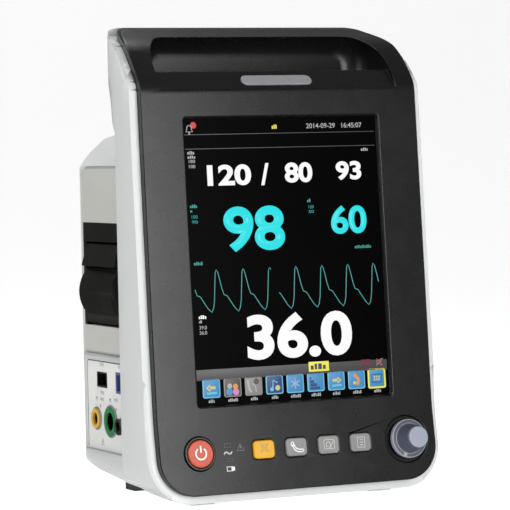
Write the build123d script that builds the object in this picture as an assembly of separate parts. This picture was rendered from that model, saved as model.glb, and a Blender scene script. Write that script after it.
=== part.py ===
"""Patient monitor: an upright bedside vital-signs monitor with a side recorder.

Millimetres, +Z up, the screen faces -Y. While a piece is drawn, y = 0 is the middle of the
screen window; save() moves it so that the origin is the middle of the footprint, at the feet.
"""
from build123d import *
from math import atan2, cos, pi, radians, sin, tan
import os

# ---- driving dimensions -------------------------------------------------------------------
HEIGHT = 279.0            # feet to the top ridge
HALF_WIDTH = 95.5         # half the width across the white rim
BACK_Y = 113.0            # back of the rear housing
SPLIT_Y = 42.0            # parting plane of the two housings
ORIGIN_Y = 43.47          # middle of the footprint, knob cap included

SCREEN_Z = 140.9          # middle of the screen window
FACE_TILT = 4.13          # the face leans back
CHIN_TILT = 9.5           # the control strip leans back a little more
CREASE_Z = 50.0           # where the strip meets the face
CONTROL_Z = 31.0          # row of keys and knob
WINDOW = (125.7, 166.0)

BEZEL_HALF = 90.3
BEZEL_BOTTOM = 7.0
BEZEL_WALL = 3.0
BEZEL_PROUD = 5.0         # the black bezel stands in front of the white rim
BEZEL_DEPTH = 9.0

SHELL_WALL = 2.6
RIM_BOTTOM = 2.0
RIDGE_Y = 72.0            # the bezel ends here on top of the handle
HEAD_BACK = 84.0
BODY_HALF = 89.0          # flank of the rear housing
BODY_WALL = 2.5

SCOOP_HALF = 77.0
SCOOP_Z = (251.3, 273.0)
SCOOP_BACK = 52.0

KEY_X = (-24.3, -3.2, 18.0, 39.2)
KEY_SIZE = (13.5, 10.5)
KEY_TRAVEL = 0.8
POWER_X = -65.0
KNOB_X = 70.5
CLEAR = 0.3               # gap round every moving piece

PANEL_X = -87.0           # outer face of the side panels
POCKET_X = -84.0          # floor of the side pocket
POCKET_Y = (45.0, 107.0)
CONNECTOR_Z = (26.0, 81.0)
MODULE_Z = (84.0, 197.0)

REC_Y = (47.5, 104.0)     # recorder frame
REC_Z = (101.5, 163.0)
REC_BACK_X = -42.0
DOOR_AXIS = (-85.5, 104.5)
LEVER_AXIS = (-84.6, 148.6)
PLATEN = (-76.0, 142.0)
ROLL = (-69.0, 122.0)
# indicator windows on the strip: x, height above the row, width, height
INDICATORS = ((-47.3, 3.8, 4.6, 2.6), (-47.3, -0.6, 5.0, 2.2), (-46.6, -4.6, 4.6, 2.0),
              (-46.2, -9.8, 5.6, 3.2), (-39.2, 2.2, 5.0, 4.4))
BEZEL_POSTS = ((-81, 66), (81, 66), (-81, 150), (81, 150), (-81, 226), (81, 226))
CASE_SCREWS = ((-74, 28), (74, 28), (-74, 188), (74, 188))
MOUNT_HOLES = ((-37.5, 70), (37.5, 70), (-37.5, 145), (37.5, 145))   # 75 mm square, M4
INLET = (52, 48)          # rear sockets: x, z
STUD = (18, 44)
NET_PORT = (-12, 44)
USB_PORT = (-42, 44)
FEET_X = (-58, 58)
BATTERY_X = (-46, 54)
BATTERY_Y = (50, 80)
HINGE_PINS = ((48.6, 54.4), (97.1, 102.9))
KEY_NAMES = ("alarm_silence_key", "cuff_key", "alarm_reset_key", "record_key")
# patient sockets: shape, y, z, width, height
SOCKETS = {
    "temp_socket": ("square", 82.3, 68.9, 15.0, 9.0),
    "spo2_socket": ("square", 55.0, 68.4, 13.0, 12.4),
    "probe_socket": ("round", 90.8, 45.1, 12.0, 12.0),
    "ecg_socket": ("round", 69.6, 44.7, 17.0, 17.0),
    "nibp_connector": ("round", 52.6, 43.0, 10.0, 10.0),
}
GEAR_MODULE = 0.5
GEAR_Y = (95.9, 98.4)
TEETH = {"platen": 20, "idler": 16, "pinion": 12}

FACE_SLOPE = tan(radians(FACE_TILT))
CHIN_SLOPE = tan(radians(CHIN_TILT))


def save(name, shape):
    """Write one named piece in the part's own frame."""
    os.makedirs("parts", exist_ok=True)
    solids = [Pos(0, -ORIGIN_Y, 0) * solid for solid in shape.solids()]
    export_step(Compound(children=solids) if len(solids) > 1 else solids[0], "parts/" + name + ".step")


# ---- places and outlines ------------------------------------------------------------------
def face_y(z):
    """Front of the bezel at a height on the flat face or on the control strip."""
    if z >= CREASE_Z:
        return (z - SCREEN_Z) * FACE_SLOPE
    return face_y(CREASE_Z) - (CREASE_Z - z) * CHIN_SLOPE


FACE = Plane(origin=(0, 0, SCREEN_Z), x_dir=(1, 0, 0),
             z_dir=(0, -cos(radians(FACE_TILT)), sin(radians(FACE_TILT))))
CHIN = Plane(origin=(0, face_y(CONTROL_Z), CONTROL_Z), x_dir=(1, 0, 0),
             z_dir=(0, -cos(radians(CHIN_TILT)), sin(radians(CHIN_TILT))))
BROW_LOW = (face_y(240.0), 240.0)
BROW_HIGH = (18.0, SCOOP_Z[0])
BROW_LEAN = atan2(BROW_HIGH[0] - BROW_LOW[0], BROW_HIGH[1] - BROW_LOW[1])
BROW = Plane(origin=(0, (BROW_LOW[0] + BROW_HIGH[0]) / 2, (BROW_LOW[1] + BROW_HIGH[1]) / 2),
             x_dir=(1, 0, 0), z_dir=(0, -cos(BROW_LEAN), sin(BROW_LEAN)))


def along_x(face, x0, x1):
    """A (y, z) outline as a solid between two x planes."""
    return Pos(x0, 0, 0) * extrude(Plane.YZ * face, amount=x1 - x0)


def along_y(face, y0, y1):
    """An (x, z) outline as a solid between two y planes."""
    return Pos(0, y1, 0) * extrude(Plane.XZ * face, amount=y1 - y0)


def block(x0, x1, y0, y1, z0, z1):
    return Pos((x0 + x1) / 2, (y0 + y1) / 2, (z0 + z1) / 2) * Box(x1 - x0, y1 - y0, z1 - z0)


def rod_y(radius, y0, y1, x, z):
    return Pos(x, (y0 + y1) / 2, z) * Rot(90, 0, 0) * Cylinder(radius, y1 - y0)


def rod_x(radius, x0, x1, y, z):
    return Pos((x0 + x1) / 2, y, z) * Rot(0, 90, 0) * Cylinder(radius, x1 - x0)


def rod_z(radius, z0, z1, x, y):
    return Pos(x, y, (z0 + z1) / 2) * Cylinder(radius, z1 - z0)


def disc(plane, radius, low, high, x=0.0, y=0.0):
    """A round solid standing on a sloped plane, from one height to another."""
    return plane * Pos(x, y, (low + high) / 2) * Cylinder(radius, high - low)


def tile(plane, size, radius, low, high, x=0.0, y=0.0):
    """A rounded rectangular solid standing on a sloped plane."""
    return extrude(plane * Pos(x, y, low) * RectangleRounded(size[0], size[1], radius),
                   amount=high - low)


def rounded(half, z0, z1, radius):
    return Pos(0, (z0 + z1) / 2) * RectangleRounded(2 * half, z1 - z0, radius)


def strip_y(inset, z):
    """Depth of the control strip's plane, carried down to any height."""
    return face_y(CREASE_Z) + inset - (CREASE_Z - z) * CHIN_SLOPE


def behind_face(inset, low, back=RIDGE_Y):
    """Everything behind the face line: strip, face, then the brow curving back to the ridge."""
    top = (face_y(238.0) + inset, 238.0)
    crest = (back, HEIGHT - inset)
    flats = Polyline((strip_y(inset, low), low), (strip_y(inset, CREASE_Z), CREASE_Z), top)
    bend = Spline([top, (13.4 + 0.9 * inset, 251.0 - 0.4 * inset), (33.0 + 0.5 * inset, 268.5 - 0.86 * inset),
                   (51.0 + 0.25 * inset, 275.0 - 0.97 * inset), (RIDGE_Y, HEIGHT - inset)],
                  tangents=[(FACE_SLOPE, 1), (1, 0)])
    rest = [(RIDGE_Y, HEIGHT - inset), (back, low), (strip_y(inset, low), low)]
    if back > RIDGE_Y:
        rest.insert(1, crest)
    return along_x(make_face(flats + bend + Polyline(*rest)), -110, 110)


def plan_prism(inset):
    """Plan view of the head: flanks bow in towards the back and turn into its rear wall."""
    half = HALF_WIDTH - inset
    back = HEAD_BACK - inset
    turn = (60 - 0.5 * inset, back)
    side = Spline([(half, 0), (half - 3.0, 37), (half - 7.0, 54 - 0.4 * inset), turn],
                  tangents=[(-0.03, 1), (-1, 0)])
    rest = Polyline(turn, (0, back), (0, -40), (half + 1.2, -40), (half, 0))
    right = make_face(side + rest)
    return extrude(right + mirror(right, Plane.YZ), amount=300)


# ---- outer shells -------------------------------------------------------------------------
def front_bezel():
    """Black face: flat window frame, control strip, brow and the thumb scoop under the handle."""
    outline = rounded(BEZEL_HALF, BEZEL_BOTTOM, HEIGHT + 0.2, 21.0)
    inner = rounded(BEZEL_HALF - BEZEL_WALL, BEZEL_BOTTOM + BEZEL_WALL, HEIGHT - 2.8, 18.0)
    plan = plan_prism(5.2)
    slab = behind_face(0, 0) & along_y(outline, -30, RIDGE_Y) & plan
    slab -= behind_face(BEZEL_DEPTH, -20)
    hollow = behind_face(BEZEL_WALL, -20) & along_y(inner, -30, 90) & plan_prism(5.2 + BEZEL_WALL)
    scoop = scoop_room(0)
    tub = scoop_room(2.4) & behind_face(1.0, 0, 90)
    brow_back = along_x(make_face(Polyline((8.2, 236.8), (21.5, 250.0), (21.5, 253.0), (12.0, 251.0),
                                           (7.4, 241.0), (8.2, 236.8))), -SCOOP_HALF - 2, SCOOP_HALF + 2)
    brow_cut = along_x(make_face(Polyline(BROW_LOW, BROW_HIGH, (BROW_HIGH[0], 252.0), (0, 262.0),
                                          (0, 240.0), BROW_LOW)), -SCOOP_HALF, SCOOP_HALF)
    shell = slab - hollow + (tub & plan) + (brow_back & behind_face(1.0, 0)) - scoop - brow_cut
    shell -= window_cut()
    shell -= tile(BROW, (46.4, 7.9), 3.9, -8, 2) + tile(BROW, (50.6, 11.2), 1.2, -9, -2.8)
    for x in KEY_X:
        shell -= tile(CHIN, (KEY_SIZE[0] + 2 * CLEAR, KEY_SIZE[1] + 2 * CLEAR), 2.6, -5, 3, x)
    shell -= disc(CHIN, 9.8, -5, 3, POWER_X)
    shell -= disc(CHIN, 14.0, -1.2, 3, KNOB_X)
    shell -= disc(CHIN, 3.6, -5, 3, KNOB_X)
    for x, y, w, h in INDICATORS:
        shell -= tile(CHIN, (w + 0.1, h + 0.1), 0.5, -5, 3, x, y)
    for x, z in BEZEL_POSTS:
        post = tile(FACE, (7.0, 7.0), 3.4, -BEZEL_DEPTH - 5.0, -2.0, x, z - SCREEN_Z)
        shell += post - disc(FACE, 1.3, -BEZEL_DEPTH - 6.0, -5.0, x, z - SCREEN_Z)
    return shell


def scoop_room(grow):
    """Thumb recess under the handle: round upper corners and a rounded back wall."""
    low, high = SCOOP_Z[0] - grow, SCOOP_Z[1] + grow
    half = SCOOP_HALF + grow
    room = block(-half, half, -20, SCOOP_BACK + grow, low, high)
    tops = room.edges().filter_by(Axis.Y).group_by(Axis.Z)[-1]
    room = fillet(tops, 19.0 + grow)
    corners = [e for e in room.edges().filter_by(Axis.Z) if e.center().Y > 0]
    return fillet(corners, 14.0 + grow)


def window_cut():
    """Screen opening with bevelled sides."""
    hole = tile(FACE, WINDOW, 1.2, -BEZEL_WALL - 3, 3)
    flare = extrude(FACE * Pos(0, 0, -2.4) * RectangleRounded(WINDOW[0], WINDOW[1], 1.2), amount=3.0, taper=-24)
    return hole + flare


def head_profile(inset):
    """Side view of the front housing: sole, split face, finger groove and handle lip."""
    i = inset
    nose = strip_y(BEZEL_PROUD + i, RIM_BOTTOM + i)
    groove = [(50 - 0.7 * i, 223 + 0.75 * i), (56 - 0.85 * i, 238 + 0.5 * i), (70 - 0.3 * i, 247.5 + 0.95 * i)]
    lip = [(78 - 0.3 * i, 250 + 0.95 * i), (HEAD_BACK - i, 262), (79 - 0.6 * i, 275.5 - 0.8 * i)]
    sole = [(nose, RIM_BOTTOM + i), (4, 4.2 + i), (14, 6.6 + i), (24, 9.8 + i), (SPLIT_Y, 11.4 + i),
            (SPLIT_Y, 216 - i)]
    if inset:
        sole.append((SPLIT_Y - 1.1 * i, 216 + 0.15 * i))
    line = Polyline(*sole, groove[0])
    line += ThreePointArc(*groove) + Line(groove[2], lip[0]) + ThreePointArc(*lip)
    line += Polyline(lip[2], (RIDGE_Y, HEIGHT - i), (nose, HEIGHT - i), (nose, RIM_BOTTOM + i))
    return along_x(make_face(line), -110, 110)


def front_housing():
    """White shell round the bezel: rim, flanks, and the handle with its finger groove behind."""
    rim = rounded(HALF_WIDTH, RIM_BOTTOM, HEIGHT + 0.8, 26.0)
    shell = head_profile(0) & along_y(rim, -30, 90) & plan_prism(0)
    shell &= behind_face(BEZEL_PROUD, -20, 90) + block(-110, 110, RIDGE_Y, 90, 200, 300)
    inner = rounded(HALF_WIDTH - SHELL_WALL, RIM_BOTTOM + SHELL_WALL, HEIGHT - SHELL_WALL, 23.4)
    room = head_profile(SHELL_WALL) & along_y(inner, -30, 90) & plan_prism(SHELL_WALL)
    room -= behind_face(0, -20, 90) - behind_face(BEZEL_DEPTH + 0.3, -20, 90)
    mouth = rounded(BEZEL_HALF + 0.15, BEZEL_BOTTOM - 0.15, HEIGHT + 0.35, 21.15)
    opening = along_y(mouth, -30, RIDGE_Y + 0.15) & plan_prism(5.05)
    opening -= behind_face(BEZEL_DEPTH + 4.0, -20, 90)
    back_door = along_y(rounded(83.5, 16.5, 208.0, 12.0), 30, SPLIT_Y + 1)
    shell = shell - room - opening - back_door
    for x, z in CASE_SCREWS:
        arm = block(min(x, x * 1.24), max(x, x * 1.24), SPLIT_Y - 14, SPLIT_Y - 8, z - 2, z + 2)
        shell += rod_y(4.4, SPLIT_Y - 14, SPLIT_Y, x, z) + arm
        shell -= rod_y(1.3, SPLIT_Y - 10, SPLIT_Y + 1, x, z)
    for x, z in BEZEL_POSTS:
        y = face_y(z) + BEZEL_DEPTH + 5.4
        end = x * 1.13
        shell += block(min(x - 4, end), max(x + 4, end), y, y + 3, z - 6, z + 4)
        shell -= disc(FACE, 1.7, -22, -10, x, z - SCREEN_Z)
    for x in FEET_X:
        shell -= block(x - 8.2, x + 8.2, 1.8, 14.2, 0, 7.2)
    return shell


def body_profile(inset):
    """Side view of the rear housing: rising sole, straight back, sloping shoulder."""
    i = inset
    low = Polyline((SPLIT_Y + i, 11.4 + i), (83, 15.2 + i), (97, 17.9 + i), (103, 20.0 + i))
    heel = Spline([(103, 20.0 + i), (BACK_Y - i, 32)], tangents=[(1, 0.35), (0, 1)])
    up = Line((BACK_Y - i, 32), (BACK_Y - i, 180))
    top = Spline([(BACK_Y - i, 180), (105 - 0.8 * i, 194.5 - 0.6 * i), (92 - 0.4 * i, 202.6 - i),
                  (70, 211 - i), (SPLIT_Y + i, 216 - i)], tangents=[(0, 1), (-1, 0.12)])
    return along_x(make_face(low + heel + up + top + Line((SPLIT_Y + i, 216 - i), (SPLIT_Y + i, 11.4 + i))), -95, 95)


def body_solid(inset):
    """Outer or inner volume of the rear housing, with rounded rear corners."""
    half = BODY_HALF - inset
    plan = block(-half, half, 30, BACK_Y - inset, 0, 230)
    corners = [e for e in plan.edges().filter_by(Axis.Z) if e.center().Y > 50]
    return body_profile(inset) & fillet(corners, 12 - inset)


def rear_housing():
    """White rear shell with the side pocket, rear sockets, vents and screw wells."""
    outer = body_solid(0)
    room = body_solid(BODY_WALL) + (body_solid(BODY_WALL) & block(-95, 95, 40, 60, 0, 230)).moved(
        Location((0, -5, 0)))
    tray_y = (POCKET_Y[0] - 3.0, POCKET_Y[1] + 2.5)
    tray = outer & block(-95, POCKET_X + 2.2, SPLIT_Y, tray_y[1], CONNECTOR_Z[0] - 2.5, MODULE_Z[1] + 2.5)
    shell = outer - (room - tray)
    for z0, z1 in (CONNECTOR_Z, MODULE_Z):
        shell -= block(-95, POCKET_X, POCKET_Y[0], POCKET_Y[1], z0, z1) & body_profile(1.4)
    shell -= block(-95, -70, REC_Y[0] - CLEAR, REC_Y[1] + CLEAR, REC_Z[0] - CLEAR, REC_Z[1] + CLEAR)
    shell -= block(-95, -70, 46.2, 99.0, 31.0, 77.0)
    for x, z in CASE_SCREWS:
        well = rod_y(4.6, SPLIT_Y + 0.05, BACK_Y - 0.5, x, z) & outer
        shell += well
        shell -= rod_y(3.3, SPLIT_Y + 4, BACK_Y + 2, x, z) + rod_y(1.7, SPLIT_Y - 1, BACK_Y, x, z)
    for x, z in MOUNT_HOLES:
        shell += rod_y(5.0, BACK_Y - 9, BACK_Y - 1, x, z)
        shell -= rod_y(3.0, BACK_Y - 8, BACK_Y + 1, x, z)
    shell -= block(INLET[0] - 14, INLET[0] + 14, BACK_Y - 6, BACK_Y + 1, INLET[1] - 10.2, INLET[1] + 10.2)
    shell -= rod_y(4.1, BACK_Y - 6, BACK_Y + 1, STUD[0], STUD[1])
    shell -= block(NET_PORT[0] - 8.2, NET_PORT[0] + 8.2, BACK_Y - 6, BACK_Y + 1, NET_PORT[1] - 7, NET_PORT[1] + 7)
    shell -= block(USB_PORT[0] - 7.3, USB_PORT[0] + 7.3, BACK_Y - 6, BACK_Y + 1, USB_PORT[1] - 3.7,
                   USB_PORT[1] + 3.7)
    for k in range(9):
        shell -= block(-22, 22, BACK_Y - 4, BACK_Y + 1, 164 + 3.6 * (k - 4) - 0.9, 164 + 3.6 * (k - 4) + 0.9)
        shell -= block(80, 95, 60 + 3.6 * k - 0.9, 60 + 3.6 * k + 0.9, 150, 176)
    shell -= block(BATTERY_X[0] - 0.4, BATTERY_X[1] + 0.4, BATTERY_Y[0] - 0.4, BATTERY_Y[1] + 0.4, 5, 24)
    for x in FEET_X:
        shell -= block(x - 8.2, x + 8.2, 83.8, 98.2, 5, 16.6)
        shell += block(x - 10, x + 10, 81, 101, 16.8, 22)
        shell -= block(x - 8.2, x + 8.2, 83.8, 98.2, 5, 18.8)
    return shell

# ---- screen and alarm light ---------------------------------------------------------------
def display_window():
    """Hard-coated cover glass glued behind the bezel."""
    return tile(FACE, (133.0, 173.4), 2.0, -BEZEL_WALL - 1.6, -BEZEL_WALL)


def display_panel():
    """Eight-inch flat panel, standing upright, with its driver board bulge behind."""
    body = tile(FACE, (141.0, 181.0), 1.0, -10.4, -4.9)
    return body + tile(FACE, (60.0, 30.0), 1.0, -12.0, -10.4, 0, -60)


def display_bracket():
    """Folded sheet frame that holds the panel and carries the boards."""
    plate = tile(FACE, (150.0, 188.0), 3.0, -13.2, -12.1)
    plate -= tile(FACE, (110.0, 60.0), 6.0, -15, -10, 0, 40)
    for side in (-1, 1):
        for y in (-76, 0, 76):
            plate += tile(FACE, (6.0, 12.0), 1.0, -12.6, -6.5, side * 73.9, y)
            plate -= tile(FACE, (3.0, 20.0), 0.5, -11.9, -4.0, side * 71.2, y)
    return plate


def alarm_lens():
    """Long light window in the brow."""
    return tile(BROW, (46.0, 7.5), 3.7, -3.0, 0.5) + tile(BROW, (50.0, 10.6), 1.0, -4.6, -2.9)


def alarm_light_board():
    """Strip of lamps behind the alarm lens."""
    board = tile(BROW, (50.0, 9.6), 0.5, -8.2, -6.8)
    for k in range(5):
        board += tile(BROW, (3.0, 3.0), 0.4, -6.9, -5.6, 9.5 * (k - 2))
    return board


# ---- keys and knob ------------------------------------------------------------------------
def key(x):
    """Rubber-sprung key cap with a retaining flange and a plunger."""
    cap = tile(CHIN, KEY_SIZE, 2.4, -BEZEL_WALL - 0.4, 1.3, x)
    flange = tile(CHIN, (KEY_SIZE[0] + 2.6, KEY_SIZE[1] + 2.4), 2.6, -BEZEL_WALL - 1.6, -BEZEL_WALL - CLEAR, x)
    return cap + flange + disc(CHIN, 1.6, -6.6, -BEZEL_WALL - 1.5, x)


def power_button():
    """Round lit button in its ring."""
    cap = disc(CHIN, 8.0, -3.6, 1.6, POWER_X)
    cap = fillet(cap.edges().filter_by(GeomType.CIRCLE).sort_by(Axis.Y)[0], 0.9)
    return cap + disc(CHIN, 9.4, -5.2, -3.5, POWER_X) + disc(CHIN, 1.6, -6.6, -5.1, POWER_X)


def power_button_ring():
    """Fixed collar round the power button."""
    ring = disc(CHIN, 9.75, -3.1, 1.0, POWER_X)
    return ring - disc(CHIN, 8.0 + CLEAR, -4, 2, POWER_X)


def tact_switches():
    """Click switches on the key board, one under each plunger."""
    group = []
    for x in (POWER_X,) + KEY_X:
        body = tile(CHIN, (6.0, 6.0), 0.4, -11.4, -8.2, x)
        group.append(body + disc(CHIN, 1.5, -8.3, -6.6 - KEY_TRAVEL - CLEAR, x))
    return Compound(children=group)


def key_board():
    """Board behind the control strip."""
    board = tile(CHIN, (166.0, 27.0), 2.0, -13.0, -11.4)
    return board - disc(CHIN, 4.4, -14, -10, KNOB_X)


def indicator_windows():
    """Light windows for mains, battery and caution, let into the strip."""
    return Compound(children=[tile(CHIN, (w, h), 0.45, -4.0, 0.1, x, y) for x, y, w, h in INDICATORS])


def encoder_body():
    """Rotary encoder case on the key board, with a cavity for its rotor."""
    body = tile(CHIN, (13.0, 13.0), 1.0, -11.3, -3.3, KNOB_X)
    body -= disc(CHIN, 5.3, -9.6, -4.9, KNOB_X)
    return body - disc(CHIN, 3.12, -14, 0, KNOB_X)


def encoder_rotor():
    """Detent disc that turns with the shaft and lets it slide."""
    return disc(CHIN, 5.0, -9.2, -5.3, KNOB_X) - disc(CHIN, 2.05, -10, -4, KNOB_X)


def encoder_shaft():
    """Stepped shaft: thin in the rotor, thick in the knob."""
    return disc(CHIN, 2.0, -10.8, -4.0, KNOB_X) + disc(CHIN, 3.05, -4.1, 9.0, KNOB_X)


def knob():
    """Knob: wide skirt and a tapering grip."""
    skirt = disc(CHIN, 11.5, 1.0, 4.2, KNOB_X) - disc(CHIN, 10.2, 0.0, 2.6, KNOB_X)
    grip = CHIN * Pos(KNOB_X, 0, 9.1) * Cone(8.75, 6.75, 10.4)
    collar = disc(CHIN, 5.0, 0.6, 4.2, KNOB_X)
    return skirt + grip + collar - disc(CHIN, 3.05, 0.0, 9.0, KNOB_X)


def knob_cap():
    """Domed end cap of the knob."""
    cap = disc(CHIN, 6.3, 14.3, 15.6, KNOB_X)
    return fillet(cap.edges().filter_by(GeomType.CIRCLE).sort_by(Axis.Y)[0], 0.7)


# ---- side panels and sockets --------------------------------------------------------------
def module_panel():
    """Grey plate round the recorder, with a bevelled rim."""
    z0, z1 = MODULE_Z
    plate = block(PANEL_X, POCKET_X, POCKET_Y[0] + 0.3, POCKET_Y[1] - 0.3, z0 + 0.3, z1 - 0.3)
    plate = chamfer(plate.faces().sort_by(Axis.X)[0].edges(), 1.6) & body_profile(1.7)
    return plate - block(-95, -70, REC_Y[0] - 0.2, REC_Y[1] + 0.2, REC_Z[0] - 0.2, REC_Z[1] + 0.2)


def socket_hole(kind, y, z, w, h, grow):
    if kind == "round":
        return rod_x(w / 2 + grow, -95, -60, y, z)
    return block(-95, -60, y - w / 2 - grow, y + w / 2 + grow, z - h / 2 - grow, z + h / 2 + grow)


def connector_panel():
    """Grey plate that carries the patient sockets."""
    z0, z1 = CONNECTOR_Z
    plate = block(PANEL_X + 0.8, POCKET_X, POCKET_Y[0] + 0.3, POCKET_Y[1] - 0.3, z0 + 0.3, z1 - 0.3)
    for spec in SOCKETS.values():
        plate -= socket_hole(*spec, 0.1)
    return plate


def round_socket(spec, bore, proud, pins):
    """Round patient socket: barrel, flange, blind mouth and contact pins."""
    kind, y, z, w, h = spec
    outer = PANEL_X + 0.8 - proud
    body = rod_x(w / 2, outer, -72, y, z) + rod_x(w / 2 + 1.4, POCKET_X + 0.1, POCKET_X + 2.4, y, z)
    body -= rod_x(bore / 2, outer - 1, -75, y, z)
    for k in range(pins):
        turn = 2 * pi * k / pins
        body += rod_x(0.6, -78.2, -74.5, y + bore * 0.27 * cos(turn), z + bore * 0.27 * sin(turn))
    return body


def square_socket(spec, wall):
    """Rectangular patient socket with a tongue inside."""
    kind, y, z, w, h = spec
    x0 = PANEL_X + 0.6
    body = block(x0, -72, y - w / 2, y + w / 2, z - h / 2, z + h / 2)
    body += block(POCKET_X + 0.1, POCKET_X + 2.4, y - w / 2 - 1.2, y + w / 2 + 1.2, z - h / 2 - 1.2, z + h / 2 + 1.2)
    body -= block(x0 - 1, -75, y - w / 2 + wall, y + w / 2 - wall, z - h / 2 + wall, z + h / 2 - wall)
    return body + block(-82, -74.5, y - w / 4, y + w / 4, z - h / 2 + wall - 0.1, z - h / 2 + wall + 0.8)


def nibp_connector():
    """Metal air coupling for the cuff hose."""
    kind, y, z, w, h = SOCKETS["nibp_connector"]
    body = rod_x(w / 2, PANEL_X - 2.6, -70, y, z) + rod_x(w / 2 + 1.2, POCKET_X + 0.1, POCKET_X + 2.4, y, z)
    body += rod_x(2.6, -70.1, -62, y, z)
    return body - rod_x(3.0, PANEL_X - 4, -76, y, z) - rod_x(1.3, -77, -61, y, z)


def socket_board():
    """Front-end board that all patient sockets are soldered to."""
    board = block(-71.9, -70.3, 46.5, 101.5, 32.5, 76.5)
    kind, y, z, w, h = SOCKETS["nibp_connector"]
    return board - rod_x(w / 2 + 1.0, -75, -65, y, z)


# ---- recorder -----------------------------------------------------------------------------
def recorder_frame():
    """Black moulded frame: paper bay, front plate, hinge and shaft holes."""
    frame = block(PANEL_X - 0.3, REC_BACK_X, REC_Y[0], REC_Y[1], REC_Z[0], REC_Z[1])
    frame -= block(-84.5, REC_BACK_X - 2.5, 51.0, 100.5, 104.5, 160.5)
    frame -= block(-95, -84.4, 51.0, 100.5, 100, 151.6)
    frame -= block(-95, -82.4, 51.0, 100.5, 100, 106.0)
    for y0, y1 in ((46, 52), (100, 106)):
        frame -= rod_y(1.55, y0, y1, *PLATEN)
        frame -= rod_y(2.06, y0, y1, *ROLL)
    for y0, y1 in HINGE_PINS:
        frame -= rod_y(0.8, y0, y1, *DOOR_AXIS)
        frame -= rod_y(0.8, y0, y1, *LEVER_AXIS)
    frame += rod_y(1.2, GEAR_Y[0] - 0.4, 100.6, *gear_place("idler"))
    frame += block(-67.4, -66.4, 51.0, 95.0, 133.0, 160.6) & block(-68, -66, 51, 95, 150, 161)
    return frame


def gear_place(name):
    """Gear centres: the idler below and behind the platen, the pinion further back."""
    reach = {"platen": 0.0}
    step = GEAR_MODULE / 2
    reach["idler"] = step * (TEETH["platen"] + TEETH["idler"]) + 0.06
    reach["pinion"] = reach["idler"] + step * (TEETH["idler"] + TEETH["pinion"]) + 0.06
    lean = radians(11)
    return PLATEN[0] + reach[name] * cos(lean), PLATEN[1] + reach[name] * sin(lean)


def gear(teeth, phase):
    """Spur gear outline with slim trapezoid teeth, turned by a part of one tooth."""
    pitch = GEAR_MODULE * teeth / 2
    tip, root = pitch + 0.8 * GEAR_MODULE, pitch - 1.15 * GEAR_MODULE
    step = 2 * pi / teeth
    points = []
    for k in range(teeth):
        for part, r in ((-0.30, root), (-0.09, tip), (0.09, tip), (0.30, root)):
            turn = step * (k + phase + part)
            points.append((r * cos(turn), r * sin(turn)))
    return make_face(Polyline(*points, points[0]))


def gear_solid(name, phase, bore):
    x, z = gear_place(name)
    wheel = Pos(x, GEAR_Y[1], z) * extrude(Plane.XZ * gear(TEETH[name], phase), amount=GEAR_Y[1] - GEAR_Y[0])
    return wheel - rod_y(bore, GEAR_Y[0] - 1, GEAR_Y[1] + 1, x, z)


def platen_gear():
    return gear_solid("platen", 11 / 360 * TEETH["platen"], 1.5)


def idler_gear():
    return gear_solid("idler", 191 / 360 * TEETH["idler"] + 0.5, 1.25)


def motor_pinion():
    side = 11 / 360 * TEETH["idler"] - (191 / 360 * TEETH["idler"] + 0.5)
    return gear_solid("pinion", 191 / 360 * TEETH["pinion"] + 0.5 + side, 0.75)


def platen_roller():
    """Rubber feed roller on its steel shaft."""
    return rod_y(4.0, 53.0, 94.5, *PLATEN) - rod_y(1.5, 50, 100, *PLATEN)


def platen_shaft():
    return rod_y(1.5, 48.6, 102.8, *PLATEN)


def print_head():
    """Thermal head with its ribbed heat sink, just behind the platen."""
    x = PLATEN[0] + 4.25
    head = block(x, x + 1.2, 52.5, 94.8, 138.4, 147.6)
    for k in range(4):
        head += block(x + 1.0, x + 2.6, 52.5, 94.8, 139.0 + 2.2 * k, 140.2 + 2.2 * k)
    return head


def recorder_motor():
    """Stepper motor with a stub shaft for the pinion."""
    x, z = gear_place("pinion")
    return rod_y(6.5, 62.0, 93.5, x, z) + rod_y(2.5, 93.4, 94.6, x, z) - rod_y(0.8, 80.0, 95.0, x, z)


def motor_shaft():
    return rod_y(0.75, 80.4, 99.0, *gear_place("pinion"))


def paper_roll():
    return rod_y(15.0, 52.0, 99.5, *ROLL) - rod_y(6.0, 50, 101, *ROLL)


def paper_spindle():
    """Plastic core with stub ends that rest in the frame."""
    return rod_y(6.0, 51.8, 99.7, *ROLL) + rod_y(2.0, 48.4, 103.0, *ROLL)


def recorder_door():
    """Bulged paper door, hinged at its foot."""
    x, z = DOOR_AXIS
    shell = rod_y(20.0, 51.4, 100.1, -72.5, 121.5) - rod_y(18.0, 53.4, 98.1, -72.5, 121.5)
    shell &= block(-95, PANEL_X + 0.6, 50, 101, 100, 140)
    plate = block(PANEL_X, PANEL_X + 2.0, 51.4, 100.1, 107.4, 110.0) + block(-87, -85, 51.4, 100.1, 104.4, 107.6)
    rails = block(PANEL_X, PANEL_X + 2.0, 51.4, 53.6, 107, 136.6) + block(PANEL_X, PANEL_X + 2.0, 97.9, 100.1,
                                                                       107, 136.6)
    top = block(PANEL_X, PANEL_X + 2.0, 51.4, 100.1, 133.8, 135.4)
    knuckle = rod_y(1.7, 51.4, 100.1, x, z)
    body = shell + plate + rails + top + knuckle
    return body - rod_y(0.85, 50, 102, x, z)


def release_lever():
    """Finger flap above the door; its foot flares outwards."""
    x, z = LEVER_AXIS
    flap = make_face(Polyline((-87.0, 149.6), (-86.0, 150.6), (-84.9, 150.6), (-85.0, 146.0), (-87.4, 137.1),
                              (-90.6, 137.1), (-88.3, 145.0), (-87.0, 149.6)))
    body = Pos(0, 100.1, 0) * extrude(Plane.XZ * flap, amount=48.7)
    for y0 in (51.4, 97.1):
        body += rod_y(1.6, y0, y0 + 3.0, x, z)
        body -= rod_y(0.85, y0 - 1, y0 + 4, x, z)
    return body


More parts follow.
